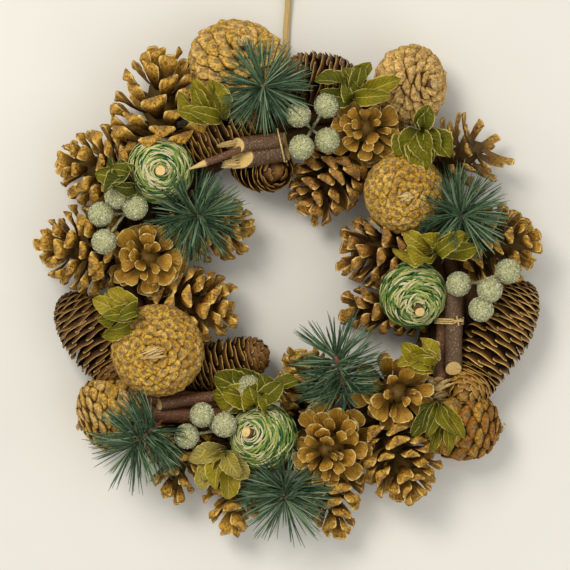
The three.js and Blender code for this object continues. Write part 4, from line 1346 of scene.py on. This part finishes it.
def leaf_blade(shell, foot, heading, pitch, length, width, tone, rng):
    """A blade, waved at its edges, curled along its length and rolled a little to one side.

    It is a grid of rows along it and columns across it, on an upper and a lower face.
    """
    u = np.linspace(0, 1, BLADE_ROWS)[:, None]
    v = np.linspace(-1, 1, BLADE_COLUMNS)[None, :]
    outline = np.clip(4 * u * (1 - u), 0.02, 1) ** 0.6 * (0.82 + 0.36 * u)
    serration = 1 + 0.05 * np.sin(u * 44) * (np.abs(v) > 0.9)
    phase, fold, curl = rng.uniform(0, 6), rng.uniform(*BLADE_FOLDS), rng.uniform(*BLADE_CURLS_MM) * MM
    wave = WAVE_HEIGHT * np.sin(u * 10 + phase + 2.2 * np.sign(v))
    wave = wave + FINE_WAVE_HEIGHT * np.sin(u * 23 + 2 * phase)
    x = length * u + 0 * v
    y = v * outline * width / 2 * serration
    z = curl * np.sin(np.pi * u) + fold * np.abs(y) + wave * np.abs(v) ** 3
    y, z = turned(y, z, rng.uniform(-BLADE_ROLL, BLADE_ROLL))
    x, z = turned(x, z, math.radians(pitch))
    x, y = turned(x, y, math.radians(heading))
    upper = foot + np.stack([x, y, z], 2)
    lower = upper[:, ::-1] - UP * BLADE_THICKNESS
    rib = np.clip(1 - np.abs(v) * 9, 0, 1) * 0.84
    vein = u * 0.9 - np.abs(v) * 0.28
    layers = {}
    for name, values in {"across": v, "rim": np.maximum(np.abs(v) ** 14, rib), "spot": vein}.items():
        values = values * np.ones_like(u)
        layers[name] = np.concatenate([values, values[:, ::-1]], 1)
    shell.loft(np.concatenate([lower, upper], 1)[:, ::-1], along=u, tone=tone, **layers)


def clear_pitch(foot, heading, pitch, length):
    """The first pitch, from the wanted one upwards, at which a leaf is clear of the pieces below it."""
    turn = math.radians(heading)
    while pitch < STEEPEST:
        slope = math.radians(pitch)
        way = np.array([math.cos(turn) * math.cos(slope), math.sin(turn) * math.cos(slope), math.sin(slope)])
        if all(is_free(foot + way * length * share) for share in (0.35, 0.6, 0.8, 1)):
            break
        pitch += PITCH_STEP
    return pitch


leaf = leaf_finish()
rng = random.Random(31)
for name, (root, tone, blades) in LEAVES.items():
    root = at(*root)
    shell = Shell()
    companions = COMPANION_LENGTHS[: 2 if len(blades) < 4 else 1]
    for i, (heading, pitch, length, width) in enumerate(blades):
        foot = root + UP * i * LEAF_STEP
        length, width = length * MM, width * MM
        pitch = clear_pitch(foot, heading, pitch, length)
        shade = tone + rng.uniform(-0.26, 0.2)
        leaf_blade(shell, foot, heading, pitch, length, width, shade, rng)
        for smaller in companions:
            beside = foot + np.array([rng.uniform(-1.5, 1.5) for _ in range(3)]) * MM
            aside, steeper = heading + rng.uniform(-20, 20), pitch + rng.uniform(6, 26)
            leaf_blade(shell, beside, aside, steeper, length * smaller, width * 0.9, shade - 0.06, rng)
    route = line(ring_seat(root), root + UP * len(blades) * LEAF_STEP, 8)
    shell.loft(tube(route, LEAF_STEM_RADIUS, 6), tone=0.3, rim=0.35)
    shell.piece(f"leaf_clump_{name}", [f"leaves_{name}"], "dried_leaf", leaf, 70)

# The needle sprays: short picks of long needles in tufts on a pinkish-brown stem, on a wire that is glued in.
# The needles are dark blue-green with a slight gloss, stiff and a little bent.
SPRAYS = {  # foot, end
    "top": ((-18, 131, 50), (-19, 131, 66)),
    "left_upper": ((-73, 45, 40), (-60, 44, 57)),
    "right_upper": ((111, 49, 46), (116, 43, 62)),
    "inner_bottom": ((37, -76, 45), (30, -49, 55)),
    "bottom_left": ((-92, -99, 46), (-108, -112, 54)),
    "bottom": ((-5, -137, 44), (-4, -149, 54)),
}
NEEDLE_LENGTH = 33 * MM
NEEDLE_RADIUS = 0.42 * MM
NEEDLE_TAPER = np.array([1, 1, 1, 0.92, 0.75, 0.3])
SHORTEST_NEEDLE = 7 * MM
NEEDLE_SIDES = 4
TWIGLETS = 66  # each holds needles that grow nearly the same way
NEEDLES_A_TWIGLET = 5
LOWEST_OPENING = 98  # degrees from the stem, at its foot
OPENING_CHANGE = 66  # from there to the stem's end
SPRAY_STEM_RADII = np.array([1.3, 2.0, 2.0, 1.1]) * MM  # at its end, where it is thicker than the wire


def needle_finish():
    finish = Finish("pine needles", 0.42, 0.35)
    stops = (0.0, "#1a2a15"), (0.4, "#30492f"), (0.75, "#506a48"), (1.0, "#95a884")
    body = finish.ramp(finish.layer("tone"), *stops)
    streak = finish.noise(5.0, 2.0, finish.grain_place(2.0, 3.0))
    finish.colour(finish.blotched(body, streak, 0.4, 0.7, 0.4, "#7b9a7c"))
    finish.bump(streak, 0.0002, 0.5)
    return finish.material


def stem_finish():
    finish = Finish("spray stem", 0.7)
    grain = finish.noise(600.0, 4.0)
    finish.colour(finish.ramp(grain, (0.3, "#54382a"), (0.6, "#856051"), (0.8, "#ac8878")))
    finish.bump(grain, 0.0005, 0.8)
    return finish.material


def clear_needle(root, way, sag, length):
    """The route of a needle, raised and then shortened until it is clear of the other pieces."""
    t = np.linspace(0, 1, len(NEEDLE_TAPER))[:, None]

    def route(way, reach):
        return root + way * reach * t + sag * t**2 * (reach / length)

    def is_clear(way, reach):
        return all(is_free(point) for point in route(way, reach)[2:])

    for lift in (0, 0.3, 0.7, 1.2):
        raised = unit(way + UP * lift)
        if is_clear(raised, length):
            way = raised
            break
    reach = length
    while reach > SHORTEST_NEEDLE and not is_clear(way, reach):
        reach -= 3 * MM
    return route(way, reach)


def needle_tuft(shell, foot, end, rng):
    """Twiglets in a spiral round the stem, nearly level at its foot and more upright towards its end."""
    axis, side, front = cone_axes(foot, end)
    along = np.linspace(0, 1, len(NEEDLE_TAPER))[:, None]
    for twiglet in range(TWIGLETS):
        share = (twiglet + 0.5 / NEEDLES_A_TWIGLET) / TWIGLETS
        twiglet_turn = twiglet * GOLDEN_TURN + rng.uniform(-0.35, 0.35)
        opening = LOWEST_OPENING - OPENING_CHANGE * share**3 + rng.uniform(-16, 10)
        for _ in range(NEEDLES_A_TWIGLET):
            out = aim(side, front, twiglet_turn + rng.uniform(-0.16, 0.16))
            root = foot + (end - foot) * share + out * 0.8 * MM
            way = aim(axis, out, math.radians(opening + rng.uniform(-8, 8)))
            length = NEEDLE_LENGTH * rng.uniform(0.82, 1.08)
            sag = np.cross(way, axis) * length * rng.uniform(-0.13, 0.13)
            sag = sag - UP * length * rng.uniform(-0.03, 0.12)
            route = clear_needle(root, way, sag, length)
            rings = tube(route, NEEDLE_RADIUS * NEEDLE_TAPER, NEEDLE_SIDES)
            shell.loft(rings, along=along, across=0.3, tone=rng.random())


needle, stem = needle_finish(), stem_finish()
rng = random.Random(37)
for name, (foot, end) in SPRAYS.items():
    foot, end = at(*foot), at(*end)
    shell = Shell()
    needle_tuft(shell, foot, end, rng)
    shell.piece(f"needle_tuft_{name}", [f"needles_{name}"], "needle", needle, 80)
    stalk = Shell()
    route = smooth_route(np.array([ring_seat(foot), foot, foot + (end - foot) * 0.6, end]), 5)
    thick = np.full(len(route), WIRE_RADIUS)
    thick[-4:] = SPRAY_STEM_RADII
    stalk.loft(tube(route, thick, 8), tone=0.5)
    stalk.piece(f"spray_stem_{name}", [f"needles_{name}"], "needle", stem)
